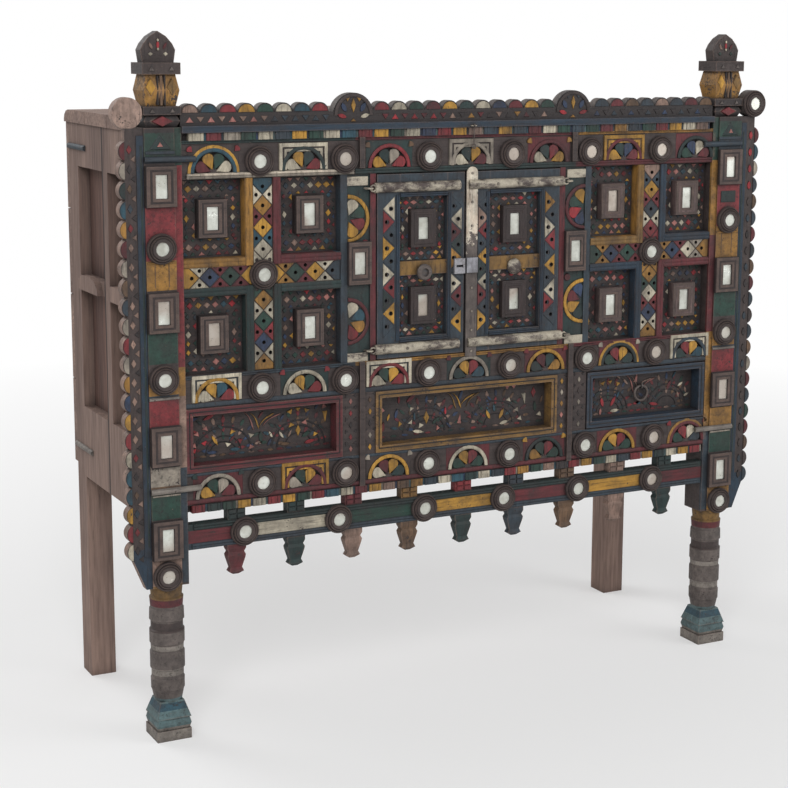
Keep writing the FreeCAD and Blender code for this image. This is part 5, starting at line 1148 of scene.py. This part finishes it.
# The fans: how far out each arc lies, and the reach and number of leaves of each row
fanArcs = (27, 42, 58)
fanRows = ((34, 7), (50, 9), (67, 11))
fanStretch = 1.15
footLeaves = 15
panelChips = {
    "leftRow": (
        "leaf blue 75 .03,.86; leaf scarlet 66 .14,.88; triangle pink 20 .02,.58 .06,.57 .04,.34 .12,.67 "
        ".815,.6; triangle scarlet 160 .11,.34 .04,.2; leaf gold 148 .18,.4; leaf blue 90 .16,.15; leaf "
        "teal 90 .32,.17; triangle cream 200 .27,.27 .43,.41; triangle red 60 .36,.34; triangle gold -20 "
        ".3,.55 .715,.57; small maroon 40 .3,.4 .5,.83; leaf green 0 .5,.37; small blue 30 .56,.24 .65,.73 "
        ".9,.9; triangle gold 160 .71,.82; triangle gold 180 .765,.86; triangle gold 200 .825,.82; diamond "
        "gold 0 .765,.43; small cream -35 .57,.4 .645,.37; small bare 25 .705,.38; leaf green 62 .82,.33; "
        "leaf scarlet 80 .845,.17; leaf brown 95 .67,.17; triangle gold -30 .885,.33; triangle pink -20 "
        ".43,.2 .95,.9; dart gold 180 .96,.66; small darkGreen -50 .08,.78 .22,.66 .62,.55 .93,.45"),
    "middleRow": (
        "triangle gold 90 .02,.8 .02,.51 .14,.33; small gold 20 .07,.5; triangle pink 100 .04,.66 .36,.16; "
        "leaf red 10 .04,.3; leaf blue 15 .115,.56 .49,.83; small scarlet 0 .13,.86 .4,.52; leaf maroon 60 "
        ".2,.87; triangle cream -30 .2,.65 .255,.27; triangle bare 180 .31,.75 .365,.66; diamond gold 0 "
        ".29,.42; leaf green 55 .345,.33; triangle cream 150 .2,.33; leaf cream 100 .24,.13; dart pink 5 "
        ".485,.32; triangle red 30 .545,.35; leaf gold -24 .655,.34; leaf gold 30 .735,.33; small green "
        "-60 .61,.2 .82,.56; leaf cream 80 .75,.13; small teal 0 .69,.47 .22,.46; triangle cream 20 "
        ".78,.64 .83,.4 .85,.2 .97,.25; triangle pink 180 .77,.9 .81,.9; dart cream 176 .875,.6; diamond "
        "red 0 .93,.74; leaf green 0 .94,.42; small brown 20 .98,.57 .59,.66; small blue -40 .42,.2 .66,.7"),
    "drawer": (
        "triangle gold 165 .16,.78; triangle gold 180 .225,.8; triangle gold 200 .295,.74; leaf scarlet "
        "-18 .155,.35; leaf scarlet 34 .255,.35; leaf cream 90 .27,.13; small pink 5 .14,.13; leaf scarlet "
        "100 .64,.19; small bare -40 .37,.78 .3,.93; dart pink 8 .47,.86; small cream 60 .89,.6 .95,.34; "
        "small bare -20 .94,.46 .87,.36; leaf darkGreen 60 .69,.4 .11,.56; leaf maroon 20 .78,.6 .07,.8; "
        "small teal 30 .3,.5 .58,.5 .83,.84; small red -30 .06,.3"),
}
fanLines = {"leftRow": (0.24, 0.765), "middleRow": (0.29, 0.7), "drawer": (0.21, 0.76)}
strokeKeys = {"leftRow": ("gold", "pink"), "middleRow": ("gold", "oldGold"), "drawer": ("bare", "pink")}
quietLeaves = "slate darkGreen green blue maroon teal brown red bare maroon".split()


def longPanel(marks, name, left, right, low, high, seed):
    pick = random.Random(seed)
    wide, high = right - left, high - low
    for share in fanLines[name]:
        x, foot = left + wide * share, low + 13
        for reach in fanArcs:
            marks.add("line", x, foot, 2 * fanStretch * reach, 2 * reach, 1.4, "night")
        for reach, count in fanRows:
            for number in range(count):
                angle = -80 + 160 * number / (count - 1)
                turn = math.radians(angle)
                chipX, chipZ = x + fanStretch * reach * math.sin(turn), foot + reach * math.cos(turn)
                if left + 6 < chipX < right - 6 and chipZ < low + high - 6:
                    marks.add("leaf", chipX, chipZ, 11, 19, 0.8, pick.choice(quietLeaves), angle)
    for number in range(footLeaves):
        x = left + wide * (number + 0.5) / footLeaves
        marks.add("leaf", x, low + 8, 8, 17, 0.8, pick.choice(quietLeaves), 90)
    middle = left + wide / 2
    for side in (-1, 1):
        for out, key in zip((17, 29), strokeKeys[name]):
            marks.add("stroke", middle + side * out, low + high - 31, 32, 52, 2, key, -90 if side > 0 else 0)
    for row in panelChips[name].split("; "):
        shape, key, turn, *places = row.split()
        chipWide, chipHigh = chipShapes[shape]
        pattern = {"small": "leaf", "dart": "triangle"}.get(shape, shape)
        for place in places:
            along, up = (float(share) for share in place.split(","))
            marks.add(pattern, left + wide * along, low + high * up, chipWide, chipHigh, 1.8, key,
                      int(turn))


# A dark line painted along a frame's four sides: painted shade standing for a groove, so that it reads as a
# double moulding.
def frameGrooveShade(marks, left, right, low, high):
    for z in (low, high):
        marks.addAlong("rod", left, right, z, 2.6, 0.7, "night")
    for x in (left, right):
        marks.add("rod", x, (low + high) / 2, high - low, 2.6, 0.7, "night", 90)


rowMarks, rowGrooveShade = Marks("rowPanel"), Marks("rowFrame")
longPanel(rowMarks, "leftRow", -610, -299.5, 562, 661, 3)
frameGrooveShade(rowGrooveShade, -617, -292.5, 555, 668)
longPanel(rowMarks, "middleRow", -195.5, 215.5, 562, 661, 4)
frameGrooveShade(rowGrooveShade, -202.5, 222.5, 555, 668)
layInlay("row_carving", "chest", rowMarks, wobble=0.1, uneven=0.2, seed=4)
layInlay("row_grooves", "chest", rowGrooveShade, seed=4)
drawerMarks, drawerGrooveShade = Marks("rowPanel"), Marks("rowFrame")
longPanel(drawerMarks, "drawer", 321.5, 608, 562, 659, 8)
frameGrooveShade(drawerGrooveShade, 315, 614.5, 555.5, 665.5)
layInlay("drawer_carving", "drawer", drawerMarks, wobble=0.1, uneven=0.2, seed=6)
layInlay("drawer_grooves", "drawer", drawerGrooveShade, seed=6)

# Camera, light and floor
print("stage: camera and light")
cameraData = bpy.data.cameras.new("camera")
cameraData.lens = 82.4
cameraData.sensor_width = 36
cameraData.shift_x = -0.0411
cameraData.shift_y = -0.0486
camera = bpy.data.objects.new("camera", cameraData)
# Its right, up and backward directions and its place, a column each
camera.matrix_world = Matrix(((0.88678, 0.07629, -0.45585, -1.8104), (-0.46215, 0.15934, -0.87237, -3.5327),
                              (0.00608, 0.98427, 0.17656, 1.4076), (0, 0, 0, 1)))
scene.collection.objects.link(camera)
scene.camera = camera


def areaLamp(name, place, aim, power, size):
    data = bpy.data.lights.new(name, "AREA")
    data.energy = power
    data.size = size
    lamp = bpy.data.objects.new(name, data)
    lamp.location = place
    lamp.rotation_mode = "QUATERNION"
    lamp.rotation_quaternion = (Vector(aim) - Vector(place)).to_track_quat("-Z", "Y")
    scene.collection.objects.link(lamp)


areaLamp("keyLamp", (-2.6, -4.2, 3.6), (0, 0, 0.7), 150, 2.6)
areaLamp("fillLamp", (3.4, -3.2, 2.2), (0, 0, 0.7), 60, 2.8)
areaLamp("backLamp", (-2.0, 3.2, 3.4), (0, 0, 0.7), 60, 2.4)

world = bpy.data.worlds.new("studio")
scene.world = world
world.use_nodes = True
tree = world.node_tree
tree.nodes.clear()
rays = addNode(tree, "ShaderNodeLightPath").outputs
soft = addNode(tree, "ShaderNodeBackground", {"Color": (1, 1, 1, 1), "Strength": 0.42})
white = addNode(tree, "ShaderNodeBackground", {"Color": (1, 1, 1, 1), "Strength": 1.0})
seen = maths(tree, "MAXIMUM", rays["Is Camera Ray"], rays["Is Glossy Ray"])
both = addNode(tree, "ShaderNodeMixShader", {0: seen, 1: soft.outputs[0], 2: white.outputs[0]})
addNode(tree, "ShaderNodeOutputWorld", {"Surface": both.outputs[0]})

floorMesh = bpy.data.meshes.new("floor")
floorMesh.from_pydata([(-12, -12, 0), (12, -12, 0), (12, 12, 0), (-12, 12, 0)], [], [(0, 1, 2, 3)])
floor = bpy.data.objects.new("floor", floorMesh)
scene.collection.objects.link(floor)
floorFinish, tree, place = startFinish("floorFinish")
matte = addNode(tree, "ShaderNodeBsdfPrincipled", {"Base Color": (0.86, 0.86, 0.86, 1), "Roughness": 0.8})
glow = addNode(tree, "ShaderNodeEmission", {"Color": (1, 1, 1, 1), "Strength": 1.0})
rays = addNode(tree, "ShaderNodeLightPath").outputs
reach = addNode(tree, "ShaderNodeVectorMath", {0: place}, operation="LENGTH").outputs["Value"]
faded = maths(tree, "MULTIPLY", spread(tree, reach, 1.0, 4.0, 0.35, 1.0), rays["Is Camera Ray"])
fading = addNode(tree, "ShaderNodeMixShader", {0: faded, 1: matte.outputs[0], 2: glow.outputs[0]})
addNode(tree, "ShaderNodeOutputMaterial", {"Surface": fading.outputs[0]})
floorMesh.materials.append(floorFinish)

for pattern in list(patterns.objects):
    bpy.data.objects.remove(pattern)
bpy.data.collections.remove(patterns)
